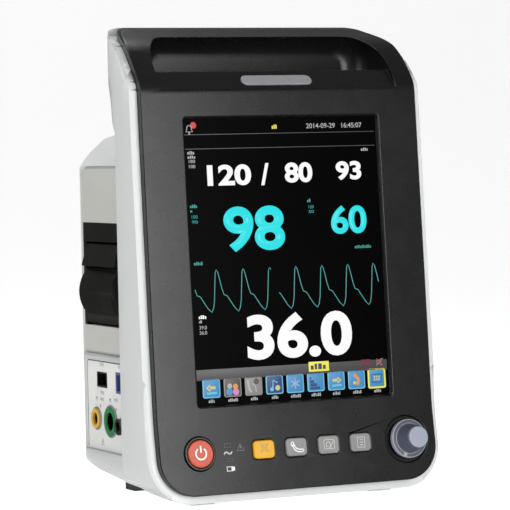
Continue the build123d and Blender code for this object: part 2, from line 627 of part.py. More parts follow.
def recorder_pins():
    """Stub pins of the door and the release lever, pressed into the frame's cheeks."""
    return Compound(children=[rod_y(0.8, y0, y1, *axis) for axis in (DOOR_AXIS, LEVER_AXIS)
                              for y0, y1 in HINGE_PINS])


# ---- inside the case ----------------------------------------------------------------------
def chassis():
    """Upright aluminium plate on the case posts that carries the boards."""
    plate = block(-38, 80, 45.0, 46.2, 56, 200) + block(-38, 37, 45.0, 104.0, 54.8, 56.0)
    plate += block(66, 81.5, 45, 46.2, 180, 196) - block(60, 90, 40, 50, 150, 179)
    return plate - rod_y(5.2, 40, 50, 74, 188)


def main_board():
    board = block(-36, 76, 50.0, 51.6, 62, 176)
    for x, z, w, h, t in ((0, 130, 26, 26, 2.4), (40, 140, 14, 20, 1.8), (-20, 95, 12, 12, 2.0),
                          (45, 90, 30, 10, 8.0), (10, 75, 40, 8, 9.0)):
        board += block(x - w / 2, x + w / 2, 51.5, 51.6 + t, z - h / 2, z + h / 2)
    return board


def board_standoffs():
    """Spacers that hold the main board and the mains converter off the chassis."""
    main = [rod_y(2.5, 46.2, 50.0, x, z) for x in (-32, 72) for z in (66, 172)]
    supply = [rod_y(2.0, 51.6, 64.0, x, z) for x in (15, 66) for z in (102, 168)]
    return Compound(children=main + supply)


def power_supply():
    """Mains converter: board, transformer and capacitors."""
    board = block(12, 69, 64.0, 65.6, 98, 172)
    board += block(20, 46, 65.5, 84, 104, 132) + block(50, 66, 65.5, 78, 104, 120)
    board += rod_y(8, 65.5, 90, 60, 150) + rod_y(5, 65.5, 82, 36, 150)
    return board


def battery_pack():
    return block(BATTERY_X[0], BATTERY_X[1], BATTERY_Y[0], BATTERY_Y[1], 25.0, 52.0)


def battery_cover():
    """Screwed cover under the battery bay."""
    plate = block(BATTERY_X[0], BATTERY_X[1], BATTERY_Y[0], BATTERY_Y[1], 14.6, 17.4)
    return plate - rod_z(1.7, 10, 20, 0, 75.0)


def nibp_pump():
    """Cuff pump: motor can and diaphragm head."""
    return rod_x(13, -31, -6, 92, 78) + rod_x(11, -6, 10, 92, 78) + block(-28, 6, 88, 96, 56.0, 70)


def nibp_valve():
    return block(18, 36, 84, 98, 56.0, 70) + rod_z(3.0, 69.9, 77, 27, 91)


def air_tube():
    """Silicone hose from the pump to the cuff coupling."""
    kind, y, z, w, h = SOCKETS["nibp_connector"]
    path = FilletPolyline((-61.5, y, z), (-54, y, z), (-54, 92, z), (-54, 92, 78), (-31, 92, 78), radius=6.5)
    section = (path ^ 0) * Circle(2.4)
    return sweep(section, path=path)


def speaker():
    """Round speaker behind the flank grille."""
    return rod_x(15, 74, 80, 75, 163) + rod_x(18, 80, 82, 75, 163) + rod_x(9, 70, 74.1, 75, 163)


def mains_inlet():
    """Three-pin mains inlet."""
    x, z = INLET
    body = block(x - 13.7, x + 13.7, BACK_Y - 26, BACK_Y, z - 9.9, z + 9.9)
    body -= block(x - 11.5, x + 11.5, BACK_Y - 16, BACK_Y + 1, z - 7.4, z + 7.4)
    for dx, dz in ((-7, -0.2), (7, -0.2), (0, 3.6)):
        body += block(x + dx - 1, x + dx + 1, BACK_Y - 17, BACK_Y - 2, z + dz - 2, z + dz + 2)
    return body


def earth_stud():
    """Equal-potential stud, 6 mm."""
    x, z = STUD
    return rod_y(4.0, BACK_Y - 10, BACK_Y - 1.2, x, z) + rod_y(3.0, BACK_Y - 1.3, BACK_Y - 0.2, x, z)


def data_ports():
    """Network jack and a data port beside it."""
    x, z = NET_PORT
    jack = block(x - 8, x + 8, BACK_Y - 20, BACK_Y - 0.3, z - 6.8, z + 6.8)
    jack -= block(x - 6, x + 6, BACK_Y - 15, BACK_Y + 1, z - 5, z + 3.5)
    x, z = USB_PORT
    port = block(x - 7.1, x + 7.1, BACK_Y - 18, BACK_Y - 0.3, z - 3.5, z + 3.5)
    port -= block(x - 6.2, x + 6.2, BACK_Y - 14, BACK_Y + 1, z - 2.6, z + 2.6)
    port += block(x - 5, x + 5, BACK_Y - 14.5, BACK_Y - 2, z + 0.2, z + 1.8)
    return Compound(children=[jack, port])


def mount_inserts():
    """Threaded brass inserts for an arm or wall plate."""
    return Compound(children=[rod_y(2.95, BACK_Y - 8, BACK_Y - 0.2, x, z) - rod_y(2.0, BACK_Y - 7, BACK_Y + 1, x, z)
                              for x, z in MOUNT_HOLES])


def case_screws():
    """Screws: four long ones from the rear, six short ones for the bezel, one in the battery cover."""
    group = [rod_z(3.0, 13.6, 14.6, 0, 75.0) + rod_z(1.5, 14.5, 24.0, 0, 75.0)]
    for x, z in CASE_SCREWS:
        group.append(rod_y(3.0, SPLIT_Y + 4, SPLIT_Y + 6.5, x, z) + rod_y(1.3, SPLIT_Y - 9, SPLIT_Y + 4.1, x, z))
    for x, z in BEZEL_POSTS:
        group.append(disc(FACE, 2.6, -19.6, -17.7, x, z - SCREEN_Z) + disc(FACE, 1.2, -17.8, -7.5, x, z - SCREEN_Z))
    return Compound(children=group)


def rubber_feet():
    """Two thin feet under the screen and two tall ones under the rising sole."""
    group = [block(x - 8, x + 8, 2, 14, 0, 7.1) for x in FEET_X]
    group += [block(x - 8, x + 8, 84, 98, 0, 18.7) for x in FEET_X]
    return Compound(children=group)


PIECES = {
    "front_bezel": front_bezel,
    "front_housing": front_housing,
    "rear_housing": rear_housing,
    "display_window": display_window,
    "display_panel": display_panel,
    "display_bracket": display_bracket,
    "alarm_lens": alarm_lens,
    "alarm_light_board": alarm_light_board,
    "power_button": power_button,
    "power_button_ring": power_button_ring,
    "key_switches": tact_switches,
    "key_board": key_board,
    "indicator_windows": indicator_windows,
    "encoder_body": encoder_body,
    "encoder_rotor": encoder_rotor,
    "encoder_shaft": encoder_shaft,
    "knob": knob,
    "knob_cap": knob_cap,
    "module_panel": module_panel,
    "connector_panel": connector_panel,
    "nibp_connector": nibp_connector,
    "socket_board": socket_board,
    "recorder_frame": recorder_frame,
    "platen_gear": platen_gear,
    "idler_gear": idler_gear,
    "motor_pinion": motor_pinion,
    "platen_roller": platen_roller,
    "platen_shaft": platen_shaft,
    "print_head": print_head,
    "recorder_motor": recorder_motor,
    "motor_shaft": motor_shaft,
    "paper_roll": paper_roll,
    "paper_spindle": paper_spindle,
    "recorder_door": recorder_door,
    "release_lever": release_lever,
    "recorder_pins": recorder_pins,
    "chassis": chassis,
    "main_board": main_board,
    "board_standoffs": board_standoffs,
    "power_supply": power_supply,
    "battery_pack": battery_pack,
    "battery_cover": battery_cover,
    "nibp_pump": nibp_pump,
    "nibp_valve": nibp_valve,
    "air_tube": air_tube,
    "speaker": speaker,
    "mains_inlet": mains_inlet,
    "earth_stud": earth_stud,
    "data_ports": data_ports,
    "mount_inserts": mount_inserts,
    "case_screws": case_screws,
    "rubber_feet": rubber_feet,
}
for name, make in PIECES.items():
    save(name, make())
for name, x in zip(KEY_NAMES, KEY_X):
    save(name, key(x))
save("temp_socket", square_socket(SOCKETS["temp_socket"], 1.0))
save("spo2_socket", square_socket(SOCKETS["spo2_socket"], 1.4))
save("probe_socket", round_socket(SOCKETS["probe_socket"], 7.6, 1.8, 4))
save("ecg_socket", round_socket(SOCKETS["ecg_socket"], 11.0, 1.2, 6))
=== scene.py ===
"""Bedside patient monitor: mouldings, keys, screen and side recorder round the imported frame."""
import math

import bpy
from mathutils import Matrix, Quaternion, Vector


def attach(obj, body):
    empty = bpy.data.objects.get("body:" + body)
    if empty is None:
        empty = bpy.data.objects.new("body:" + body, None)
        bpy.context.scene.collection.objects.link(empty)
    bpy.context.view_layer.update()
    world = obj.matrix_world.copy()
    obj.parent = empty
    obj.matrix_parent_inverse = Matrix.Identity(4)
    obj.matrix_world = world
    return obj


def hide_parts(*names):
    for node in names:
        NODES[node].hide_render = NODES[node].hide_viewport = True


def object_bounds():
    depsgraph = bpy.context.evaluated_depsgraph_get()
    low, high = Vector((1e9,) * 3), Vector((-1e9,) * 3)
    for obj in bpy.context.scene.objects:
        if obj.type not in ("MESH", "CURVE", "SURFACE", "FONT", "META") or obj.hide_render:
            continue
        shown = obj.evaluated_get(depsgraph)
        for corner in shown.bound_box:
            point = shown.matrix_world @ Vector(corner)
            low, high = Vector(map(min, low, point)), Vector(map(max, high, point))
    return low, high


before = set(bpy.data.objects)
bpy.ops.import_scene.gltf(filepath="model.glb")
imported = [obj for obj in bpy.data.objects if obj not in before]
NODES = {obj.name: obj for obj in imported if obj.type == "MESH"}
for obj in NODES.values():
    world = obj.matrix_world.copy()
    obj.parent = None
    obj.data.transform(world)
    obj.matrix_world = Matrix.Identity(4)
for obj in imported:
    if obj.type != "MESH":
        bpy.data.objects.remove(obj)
cad_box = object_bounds()
MM = 0.001

# Sloped planes of the front: a point on the plane and how far it leans back.
FACE = (Vector((0, -43.47, 140.9)) * MM, math.radians(4.13))
CHIN = (Vector((0, -53.21, 31.0)) * MM, math.radians(9.5))
SCREEN = (125.7, 166.0)      # the window, in millimetres
GLASS = -3.0                 # front of the cover glass, behind the face
PANEL_FACE = 86.2            # outer face of the socket plate, left of the middle
KEYS = {"alarm_silence_key": -24.3, "cuff_key": -3.2, "alarm_reset_key": 18.0, "record_key": 39.2}
POWER_X, KNOB_X = -65.0, 70.5


# ---- handling pieces -------------------------------------------------------------------------
def put_down():
    """Nothing selected, object mode."""
    if bpy.context.mode != "OBJECT":
        bpy.ops.object.mode_set(mode="OBJECT")
    bpy.ops.object.select_all(action="DESELECT")


def pick_up(piece):
    put_down()
    piece.select_set(True)
    bpy.context.view_layer.objects.active = piece


def select_faces(piece, test):
    """Edit mode with only the faces that pass the test selected."""
    select_in(piece, "FACE", piece.data.polygons, test)


def select_edges(piece, test):
    """Edit mode with only the edges selected whose two ends pass the test."""
    points = piece.data.vertices
    select_in(piece, "EDGE", piece.data.edges,
              lambda edge: test(points[edge.vertices[0]].co, points[edge.vertices[1]].co))


def select_in(piece, kind, parts, test):
    pick_up(piece)
    bpy.ops.object.mode_set(mode="EDIT")
    bpy.ops.mesh.select_mode(type=kind)
    bpy.ops.mesh.select_all(action="DESELECT")
    bpy.ops.object.mode_set(mode="OBJECT")
    for part in parts:
        part.select = test(part)
    bpy.ops.object.mode_set(mode="EDIT")


def name_piece(name):
    piece = bpy.context.active_object
    piece.name = name
    piece.data.name = name
    return piece


def fix_place(piece):
    pick_up(piece)
    bpy.ops.object.transform_apply(location=True, rotation=True, scale=True)


def settle(piece, plane, x=0.0, y=0.0, lift=0.0):
    """Carry a piece made flat at the origin, in millimetres, to its place on a sloped plane."""
    point, lean = plane
    piece.matrix_world = (Matrix.Translation(point) @ Matrix.Rotation(math.pi / 2 - lean, 4, "X")
                          @ Matrix.Scale(MM, 4) @ Matrix.Translation((x, y, lift)))
    fix_place(piece)
    return piece


def settle_side(piece, x, y, z, turn=0.0):
    """Carry a piece made flat at the origin, in millimetres, to the left flank, facing left."""
    piece.matrix_world = (Matrix.Translation(Vector((x, y - 43.47, z)) * MM)
                          @ Matrix.Rotation(-math.pi / 2, 4, "Y") @ Matrix.Rotation(-math.pi / 2 + turn, 4,
                                                                                    "Z")
                          @ Matrix.Scale(MM, 4))
    fix_place(piece)
    return piece


def join(name, pieces):
    put_down()
    for piece in pieces:
        piece.select_set(True)
    bpy.context.view_layer.objects.active = pieces[0]
    bpy.ops.object.join()
    return name_piece(name)


def modify(piece, kind, **settings):
    """Add a modifier, set it and apply it."""
    pick_up(piece)
    step = piece.modifiers.new(kind.lower(), kind)
    for key, value in settings.items():
        setattr(step, key, value)
    bpy.ops.object.modifier_apply(modifier=step.name)
    return piece


def smooth(piece, angle=32):
    pick_up(piece)
    bpy.ops.object.shade_smooth_by_angle(angle=math.radians(angle))
    return piece


def finish(piece, material, body="case", slot=None, *nodes):
    """Dress a piece, let it ride on its body and hide the CAD nodes it stands for."""
    piece.data.materials.clear()
    piece.data.materials.append(material)
    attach(piece, body)
    if nodes:
        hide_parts(*nodes)
    return piece


# ---- modelled shapes -------------------------------------------------------------------------
def cast(node, name, round_over, where=None, segments=3, sharp=35.0, whole=True):
    """A piece with a CAD node's shape: one closed skin with its edges rounded over.

    The edges are all of them, or only those in a place.
    """
    mesh = NODES[node].data.copy()
    piece = bpy.data.objects.new(name, mesh)
    bpy.context.scene.collection.objects.link(piece)
    pick_up(piece)
    bpy.ops.object.mode_set(mode="EDIT")
    bpy.ops.mesh.select_all(action="SELECT")
    bpy.ops.mesh.remove_doubles(threshold=0.02 * MM)
    if whole:
        bpy.ops.mesh.dissolve_limited(angle_limit=math.radians(0.6))
    bpy.ops.object.mode_set(mode="OBJECT")
    mesh.name = name
    if where:
        bpy.ops.object.mode_set(mode="EDIT")
        bpy.ops.mesh.select_mode(type="EDGE")
        bpy.ops.mesh.select_all(action="DESELECT")
        bpy.ops.mesh.edges_select_sharp(sharpness=math.radians(sharp))
        bpy.ops.object.mode_set(mode="OBJECT")
        for edge in mesh.edges:
            edge.select = edge.select and all(where(mesh.vertices[v].co / MM) for v in edge.vertices)
        bpy.ops.object.mode_set(mode="EDIT")
        bpy.ops.mesh.bevel(offset=round_over * MM, segments=segments, affect="EDGES", clamp_overlap=False)
        bpy.ops.object.mode_set(mode="OBJECT")
    elif round_over:
        modify(piece, "BEVEL", width=round_over * MM, segments=segments, limit_method="ANGLE",
               angle_limit=math.radians(sharp), use_clamp_overlap=False)
    smooth(piece)
    return modify(piece, "WEIGHTED_NORMAL", mode="FACE_AREA", weight=90, keep_sharp=True)


def tablet(name, width, depth, low, high, corner, edge, steps=6):
    """A rounded block standing on the flat: upright corners turned, top edge softened."""
    put_down()
    bpy.ops.mesh.primitive_cube_add(size=1, location=(0, 0, 0))
    piece = name_piece(name)
    bpy.ops.object.mode_set(mode="EDIT")
    bpy.ops.transform.resize(value=(width, depth, high - low))
    bpy.ops.transform.translate(value=(0, 0, (high + low) / 2))
    select_edges(piece, lambda a, b: abs(a.z - b.z) > 0.5 * (high - low))
    bpy.ops.mesh.bevel(offset=corner, segments=steps, affect="EDGES")
    select_faces(piece, lambda face: face.normal.z > 0.9)
    bpy.ops.mesh.region_to_loop()
    bpy.ops.mesh.bevel(offset=edge, segments=3, affect="EDGES")
    bpy.ops.object.mode_set(mode="OBJECT")
    return smooth(piece)


def turned(name, rings, sides=64):
    """A turned piece: a disc drawn up through rings of (radius, height)."""
    put_down()
    radius, height = rings[0]
    bpy.ops.mesh.primitive_circle_add(vertices=sides, radius=radius, fill_type="NGON", location=(0, 0, 0))
    piece = name_piece(name)
    bpy.ops.object.mode_set(mode="EDIT")
    bpy.ops.transform.translate(value=(0, 0, height))
    for wide, high in rings[1:]:
        bpy.ops.mesh.extrude_region_move(TRANSFORM_OT_translate={"value": (0, 0, high - height)})
        bpy.ops.transform.resize(value=(wide / radius, wide / radius, 1))
        radius, height = wide, high
    bpy.ops.mesh.select_all(action="SELECT")
    bpy.ops.mesh.normals_make_consistent(inside=False)
    bpy.ops.object.mode_set(mode="OBJECT")
    return smooth(piece)


def numerals(name, text, plane, left, right, low, high, lift, heavy=0.02):
    """Figures cut to fill a box on a plane, in millimetres, as a thin raised print."""
    put_down()
    bpy.ops.object.text_add(location=(0, 0, 0))
    letters = bpy.context.active_object
    letters.data.body = text
    letters.data.offset = heavy
    letters.data.resolution_u = 6
    bpy.ops.object.convert(target="MESH")
    piece = name_piece(name)
    xs = [v.co.x for v in piece.data.vertices]
    ys = [v.co.y for v in piece.data.vertices]
    bpy.ops.object.mode_set(mode="EDIT")
    bpy.ops.mesh.select_all(action="SELECT")
    bpy.ops.transform.translate(value=(-min(xs), -min(ys), 0))
    bpy.ops.transform.resize(value=((right - left) / (max(xs) - min(xs)), (high - low) / (max(ys) - min(ys)),
                                    1),
                             center_override=(0, 0, 0))
    bpy.ops.mesh.extrude_region_move(TRANSFORM_OT_translate={"value": (0, 0, 0.06)})
    bpy.ops.object.mode_set(mode="OBJECT")
    return settle(piece, plane, left, low, lift)


def line(name, points, width, height=0.06, closed=False):
    """A flat printed line of one width through (x, y) points."""
    put_down()
    data = bpy.data.curves.new(name, "CURVE")
    data.dimensions = "3D"
    run = data.splines.new("POLY")
    run.points.add(len(points) - 1)
    for spot, (x, y) in zip(run.points, points):
        spot.co = (x, y, height, 1)
    run.use_cyclic_u = closed
    data.bevel_depth = width / 2
    data.bevel_resolution = 2
    curve = bpy.data.objects.new(name, data)
    bpy.context.scene.collection.objects.link(curve)
    pick_up(curve)
    bpy.ops.object.convert(target="MESH")
    piece = name_piece(name)
    bpy.ops.object.mode_set(mode="EDIT")
    bpy.ops.mesh.select_all(action="SELECT")
    bpy.ops.transform.resize(value=(1, 1, 2 * height / width), center_override=(0, 0, height))
    bpy.ops.object.mode_set(mode="OBJECT")
    return smooth(piece, 60)


def arc(radius, start, end, steps=20, x=0.0, y=0.0):
    """Points on a round line, angles in degrees from the right."""
    turns = [math.radians(start + (end - start) * k / steps) for k in range(steps + 1)]
    return [(x + radius * math.cos(t), y + radius * math.sin(t)) for t in turns]


# ---- surface effects -------------------------------------------------------------------------
def new_effect(name, inputs, outputs):
    """An empty shader group with its named inputs and outputs."""
    tree = bpy.data.node_groups.new(name, "ShaderNodeTree")
    for label, value in inputs.items():
        kind = "NodeSocketColor" if isinstance(value, tuple) else "NodeSocketFloat"
        tree.interface.new_socket(label, in_out="INPUT", socket_type=kind).default_value = value
    for label, kind in outputs.items():
        tree.interface.new_socket(label, in_out="OUTPUT", socket_type=kind)
    return tree, tree.nodes.new("NodeGroupInput"), tree.nodes.new("NodeGroupOutput")


def wire(tree, pairs):
    for source, target in pairs:
        tree.links.new(source, target)


def add(tree, kind, **settings):
    node = tree.nodes.new("ShaderNode" + kind)
    for key, value in settings.items():
        if key in node.inputs and not hasattr(type(node), key):
            node.inputs[key].default_value = value
        else:
            setattr(node, key, value)
    return node


def moulded_plastic():
    """Injection-moulded skin: cloudy patches, fine grain and uneven gloss."""
    tree, take, give = new_effect(
        "moulded_plastic", {"Colour": (0.5, 0.5, 0.5, 1), "Tint": (0.4, 0.4, 0.4, 1), "Cloud": 0.3,
                            "Patch": 14.0, "Grain": 900.0, "Glossy": 0.3, "Dull": 0.4},
        {"Colour": "NodeSocketColor", "Roughness": "NodeSocketFloat", "Height": "NodeSocketFloat"})
    place = add(tree, "TexCoord")
    cloud = add(tree, "TexNoise", Detail=4.0, Roughness=0.55)
    fine = add(tree, "TexNoise", Detail=2.0, Roughness=0.6)
    rub = add(tree, "TexNoise", Detail=5.0, Roughness=0.7)
    spread = add(tree, "MapRange")
    spread.inputs["From Min"].default_value = 0.35
    spread.inputs["From Max"].default_value = 0.7
    amount = add(tree, "Math", operation="MULTIPLY")
    blend = add(tree, "MixRGB", blend_type="MIX")
    rough = add(tree, "MapRange")
    rough.inputs["From Min"].default_value = 0.3
    rough.inputs["From Max"].default_value = 0.7
    rubscale = add(tree, "Math", operation="MULTIPLY")
    rubscale.inputs[1].default_value = 3.0
    wire(tree, [
        (place.outputs["Object"], cloud.inputs["Vector"]), (take.outputs["Patch"], cloud.inputs["Scale"]),
        (place.outputs["Object"], fine.inputs["Vector"]), (take.outputs["Grain"], fine.inputs["Scale"]),
        (take.outputs["Patch"], rubscale.inputs[0]), (rubscale.outputs[0], rub.inputs["Scale"]),
        (place.outputs["Object"], rub.inputs["Vector"]),
        (cloud.outputs["Fac"], spread.inputs["Value"]), (spread.outputs["Result"], amount.inputs[0]),
        (take.outputs["Cloud"], amount.inputs[1]), (amount.outputs[0], blend.inputs["Fac"]),
        (take.outputs["Colour"], blend.inputs["Color1"]), (take.outputs["Tint"], blend.inputs["Color2"]),
        (rub.outputs["Fac"], rough.inputs["Value"]), (take.outputs["Glossy"], rough.inputs["To Min"]),
        (take.outputs["Dull"], rough.inputs["To Max"]),
        (blend.outputs["Color"], give.inputs["Colour"]), (rough.outputs["Result"], give.inputs["Roughness"]),
        (fine.outputs["Fac"], give.inputs["Height"])])
    return tree


def rubbed_and_highlit_edges():
    """Mask of the outer edges, broken up by noise: rubbed wear, and partly a painted highlight where edges
    catch the light.
    """
    tree, take, give = new_effect("rubbed_and_highlit_edges", {"Reach": 0.54, "Breakup": 60.0},
                                  {"Mask": "NodeSocketFloat"})
    place = add(tree, "TexCoord")
    shape = add(tree, "NewGeometry")
    noise = add(tree, "TexNoise", Detail=3.0)
    ramp = add(tree, "MapRange")
    ramp.inputs["From Max"].default_value = 0.62
    cut = add(tree, "Math", operation="MULTIPLY")
    wire(tree, [
        (place.outputs["Object"], noise.inputs["Vector"]), (take.outputs["Breakup"], noise.inputs["Scale"]),
        (shape.outputs["Pointiness"], ramp.inputs["Value"]), (take.outputs["Reach"], ramp.inputs["From Min"]),
        (ramp.outputs["Result"], cut.inputs[0]), (noise.outputs["Fac"], cut.inputs[1]),
        (cut.outputs[0], give.inputs["Mask"])])
    return tree


def drawn_metal():
    """Fine scratches that run one way, with tarnish between them."""
    tree, take, give = new_effect(
        "drawn_metal", {"Colour": (0.6, 0.6, 0.6, 1), "Tarnish": (0.3, 0.28, 0.25, 1), "Along": 40.0,
                        "Across": 900.0},
        {"Colour": "NodeSocketColor", "Roughness": "NodeSocketFloat", "Height": "NodeSocketFloat"})
    place = add(tree, "TexCoord")
    stretch = add(tree, "CombineXYZ")
    scaled = add(tree, "VectorMath", operation="MULTIPLY")
    noise = add(tree, "TexNoise", Scale=1.0, Detail=3.0)
    cloud = add(tree, "TexNoise", Scale=45.0, Detail=4.0)
    blend = add(tree, "MixRGB")
    rough = add(tree, "MapRange")
    rough.inputs["To Min"].default_value = 0.22
    rough.inputs["To Max"].default_value = 0.5
    wire(tree, [
        (take.outputs["Along"], stretch.inputs["X"]), (take.outputs["Across"], stretch.inputs["Y"]),
        (take.outputs["Across"], stretch.inputs["Z"]), (place.outputs["Object"], scaled.inputs[0]),
        (stretch.outputs[0], scaled.inputs[1]), (scaled.outputs[0], noise.inputs["Vector"]),
        (place.outputs["Object"], cloud.inputs["Vector"]), (cloud.outputs["Fac"], blend.inputs["Fac"]),
        (take.outputs["Colour"], blend.inputs["Color1"]), (take.outputs["Tarnish"], blend.inputs["Color2"]),
        (noise.outputs["Fac"], rough.inputs["Value"]), (blend.outputs["Color"], give.inputs["Colour"]),
        (rough.outputs["Result"], give.inputs["Roughness"]), (noise.outputs["Fac"], give.inputs["Height"])])
    return tree


def display_cells():
    """Rows and columns of display cells: the colour they show, a little uneven."""
    tree, take, give = new_effect("display_cells", {"Colour": (1, 1, 1, 1), "Pitch": 2600.0},
                                  {"Colour": "NodeSocketColor"})
    place = add(tree, "TexCoord")
    rows = add(tree, "TexWave", bands_direction="Z")
    columns = add(tree, "TexWave", bands_direction="X")
    both = add(tree, "Math", operation="ADD")
    level = add(tree, "MapRange")
    level.inputs["From Max"].default_value = 2.0
    level.inputs["To Min"].default_value = 0.86
    level.inputs["To Max"].default_value = 1.06
    dim = add(tree, "MixRGB", blend_type="MULTIPLY")
    dim.inputs["Fac"].default_value = 1.0
    wire(tree, [
        (place.outputs["Object"], rows.inputs["Vector"]), (take.outputs["Pitch"], rows.inputs["Scale"]),
        (place.outputs["Object"], columns.inputs["Vector"]), (take.outputs["Pitch"], columns.inputs["Scale"]),
        (rows.outputs["Fac"], both.inputs[0]), (columns.outputs["Fac"], both.inputs[1]),
        (both.outputs[0], level.inputs["Value"]), (take.outputs["Colour"], dim.inputs["Color1"]),
        (level.outputs["Result"], dim.inputs["Color2"]), (dim.outputs["Color"], give.inputs["Colour"])])
    return tree


PLASTIC, EDGES, METAL, CELLS = moulded_plastic(), rubbed_and_highlit_edges(), drawn_metal(), display_cells()


def new_material(name):
    material = bpy.data.materials.new(name)
    material.use_nodes = True
    tree = material.node_tree
    return material, tree, tree.nodes["Principled BSDF"]


def place_effect(tree, effect, **values):
    node = tree.nodes.new("ShaderNodeGroup")
    node.node_tree = effect
    for key, value in values.items():
        node.inputs[key].default_value = value
    return node


def bump(tree, shader, height, strength, distance=0.0002):
    relief = tree.nodes.new("ShaderNodeBump")
    relief.inputs["Strength"].default_value = strength
    relief.inputs["Distance"].default_value = distance
    wire(tree, [(height, relief.inputs["Height"]), (relief.outputs["Normal"], shader.inputs["Normal"])])


def plastic(name, colour, tint, gloss, cloud=0.35, patch=14.0, grain=1400.0, relief=0.12, worn_and_highlit=None, coat=0.0,
            clear=None, specular=0.5):
    """Moulded plastic or rubber; gloss is (lowest, highest) roughness; the edge colour, where one is given,
    is painted on the outer edges as rubbed wear and partly as a painted highlight.
    """
    material, tree, shader = new_material(name)
    skin = place_effect(tree, PLASTIC, Colour=(*colour, 1), Tint=(*tint, 1), Cloud=cloud, Patch=patch,
                        Grain=grain, Glossy=gloss[0], Dull=gloss[1])
    top = skin.outputs["Colour"]
    # outer edges painted lighter: partly rubbed wear, partly a painted highlight
    if worn_and_highlit:
        edge = place_effect(tree, EDGES)
        over = add(tree, "MixRGB")
        over.inputs["Color2"].default_value = (*worn_and_highlit, 1)
        wire(tree, [(edge.outputs["Mask"], over.inputs["Fac"]), (top, over.inputs["Color1"])])
        top = over.outputs["Color"]
    wire(tree, [(top, shader.inputs["Base Color"]), (skin.outputs["Roughness"], shader.inputs["Roughness"])])
    bump(tree, shader, skin.outputs["Height"], relief)
    shader.inputs["Coat Weight"].default_value = coat
    shader.inputs["Specular IOR Level"].default_value = specular
    if clear:
        shader.inputs["Alpha"].default_value = clear
    return material


def metal(name, colour, tarnish, along=40.0, across=900.0):
    material, tree, shader = new_material(name)
    skin = place_effect(tree, METAL, Colour=(*colour, 1), Tarnish=(*tarnish, 1), Along=along, Across=across)
    wire(tree, [(skin.outputs["Colour"], shader.inputs["Base Color"]),
                (skin.outputs["Roughness"], shader.inputs["Roughness"])])
    shader.inputs["Metallic"].default_value = 1.0
    bump(tree, shader, skin.outputs["Height"], 0.1, 0.0001)
    return material


def lit(name, colour, power):
    """Lit display cells."""
    material, tree, shader = new_material(name)
    cells = place_effect(tree, CELLS, Colour=(*colour, 1))
    shader.inputs["Base Color"].default_value = (0.01, 0.01, 0.01, 1)
    shader.inputs["Roughness"].default_value = 0.4
    shader.inputs["Emission Strength"].default_value = power
    wire(tree, [(cells.outputs["Colour"], shader.inputs["Emission Color"])])
    return material


# ---- finishes --------------------------------------------------------------------------------
# each edge colour below is lighter than its body: rubbed wear and a painted edge highlight
CASE_WHITE = plastic("case_white", (0.64, 0.66, 0.655), (0.59, 0.61, 0.60), (0.3, 0.42), cloud=0.5,
                     patch=9.0, relief=0.06, worn_and_highlit=(0.85, 0.86, 0.85))
BEZEL_BLACK = plastic("bezel_black", (0.005, 0.005, 0.0055), (0.009, 0.009, 0.0095), (0.24, 0.31), cloud=0.7,
                      patch=12.0, relief=0.05, worn_and_highlit=(0.03, 0.03, 0.032), specular=0.42)
PANEL_GREY = plastic("panel_grey", (0.49, 0.49, 0.46), (0.44, 0.44, 0.41), (0.42, 0.56), cloud=0.5,
                     patch=11.0, relief=0.2, worn_and_highlit=(0.58, 0.58, 0.55))
SOCKET_PANEL = plastic("socket_panel_white", (0.70, 0.70, 0.68), (0.64, 0.64, 0.61), (0.35, 0.5), cloud=0.5,
                       patch=11.0, relief=0.12, worn_and_highlit=(0.8, 0.8, 0.78))
RECORDER_BLACK = plastic("recorder_black", (0.009, 0.0085, 0.0075), (0.015, 0.0145, 0.0125), (0.42, 0.58),
                         cloud=0.6,
                         patch=20.0, relief=0.3, worn_and_highlit=(0.035, 0.034, 0.03), specular=0.12)
GLASS_BLACK = plastic("cover_glass", (0.0010, 0.0010, 0.0012), (0.002, 0.002, 0.0024), (0.25, 0.32),
                      cloud=0.5,
                      patch=8.0, relief=0.01, specular=0.02)
LENS_GREY = plastic("alarm_lens", (0.29, 0.295, 0.31), (0.24, 0.245, 0.255), (0.25, 0.35), cloud=0.5,
                    patch=60.0, relief=0.05, worn_and_highlit=(0.5, 0.5, 0.5), coat=0.3)
POWER_RED = plastic("power_red", (0.56, 0.075, 0.03), (0.47, 0.06, 0.026), (0.3, 0.42), cloud=0.6,
                    patch=90.0, relief=0.08, worn_and_highlit=(0.8, 0.2, 0.11))
RING_BLACK = plastic("ring_black", (0.006, 0.006, 0.006), (0.012, 0.012, 0.012), (0.2, 0.32), relief=0.05,
                     worn_and_highlit=(0.03, 0.03, 0.03))
KEY_YELLOW = plastic("key_yellow", (0.76, 0.40, 0.014), (0.68, 0.345, 0.011), (0.35, 0.48), cloud=0.6,
                     patch=80.0, relief=0.1, worn_and_highlit=(0.9, 0.6, 0.12))
KEY_GREY = plastic("key_grey", (0.24, 0.24, 0.24), (0.20, 0.20, 0.20), (0.35, 0.5), cloud=0.6,
                   patch=80.0, relief=0.1, worn_and_highlit=(0.42, 0.42, 0.42))
PRINT_PALE = plastic("print_pale", (0.62, 0.61, 0.58), (0.52, 0.51, 0.49), (0.45, 0.6), cloud=0.6,
                     patch=300.0,
                     relief=0.1)
PRINT_SAND = plastic("print_sand", (0.42, 0.32, 0.12), (0.36, 0.27, 0.10), (0.45, 0.6), cloud=0.6,
                     patch=300.0,
                     relief=0.1)
PRINT_GREY = plastic("print_grey", (0.25, 0.25, 0.25), (0.2, 0.2, 0.2), (0.45, 0.6), cloud=0.6, patch=300.0,
                     relief=0.1)
PRINT_DARK = plastic("print_dark", (0.09, 0.09, 0.095), (0.14, 0.14, 0.14), (0.45, 0.6), cloud=0.6,
                     patch=300.0,
                     relief=0.1)
PRINT_WHITE = plastic("print_white", (0.88, 0.87, 0.84), (0.78, 0.77, 0.74), (0.4, 0.55), cloud=0.5,
                      patch=300.0,
                      relief=0.1)
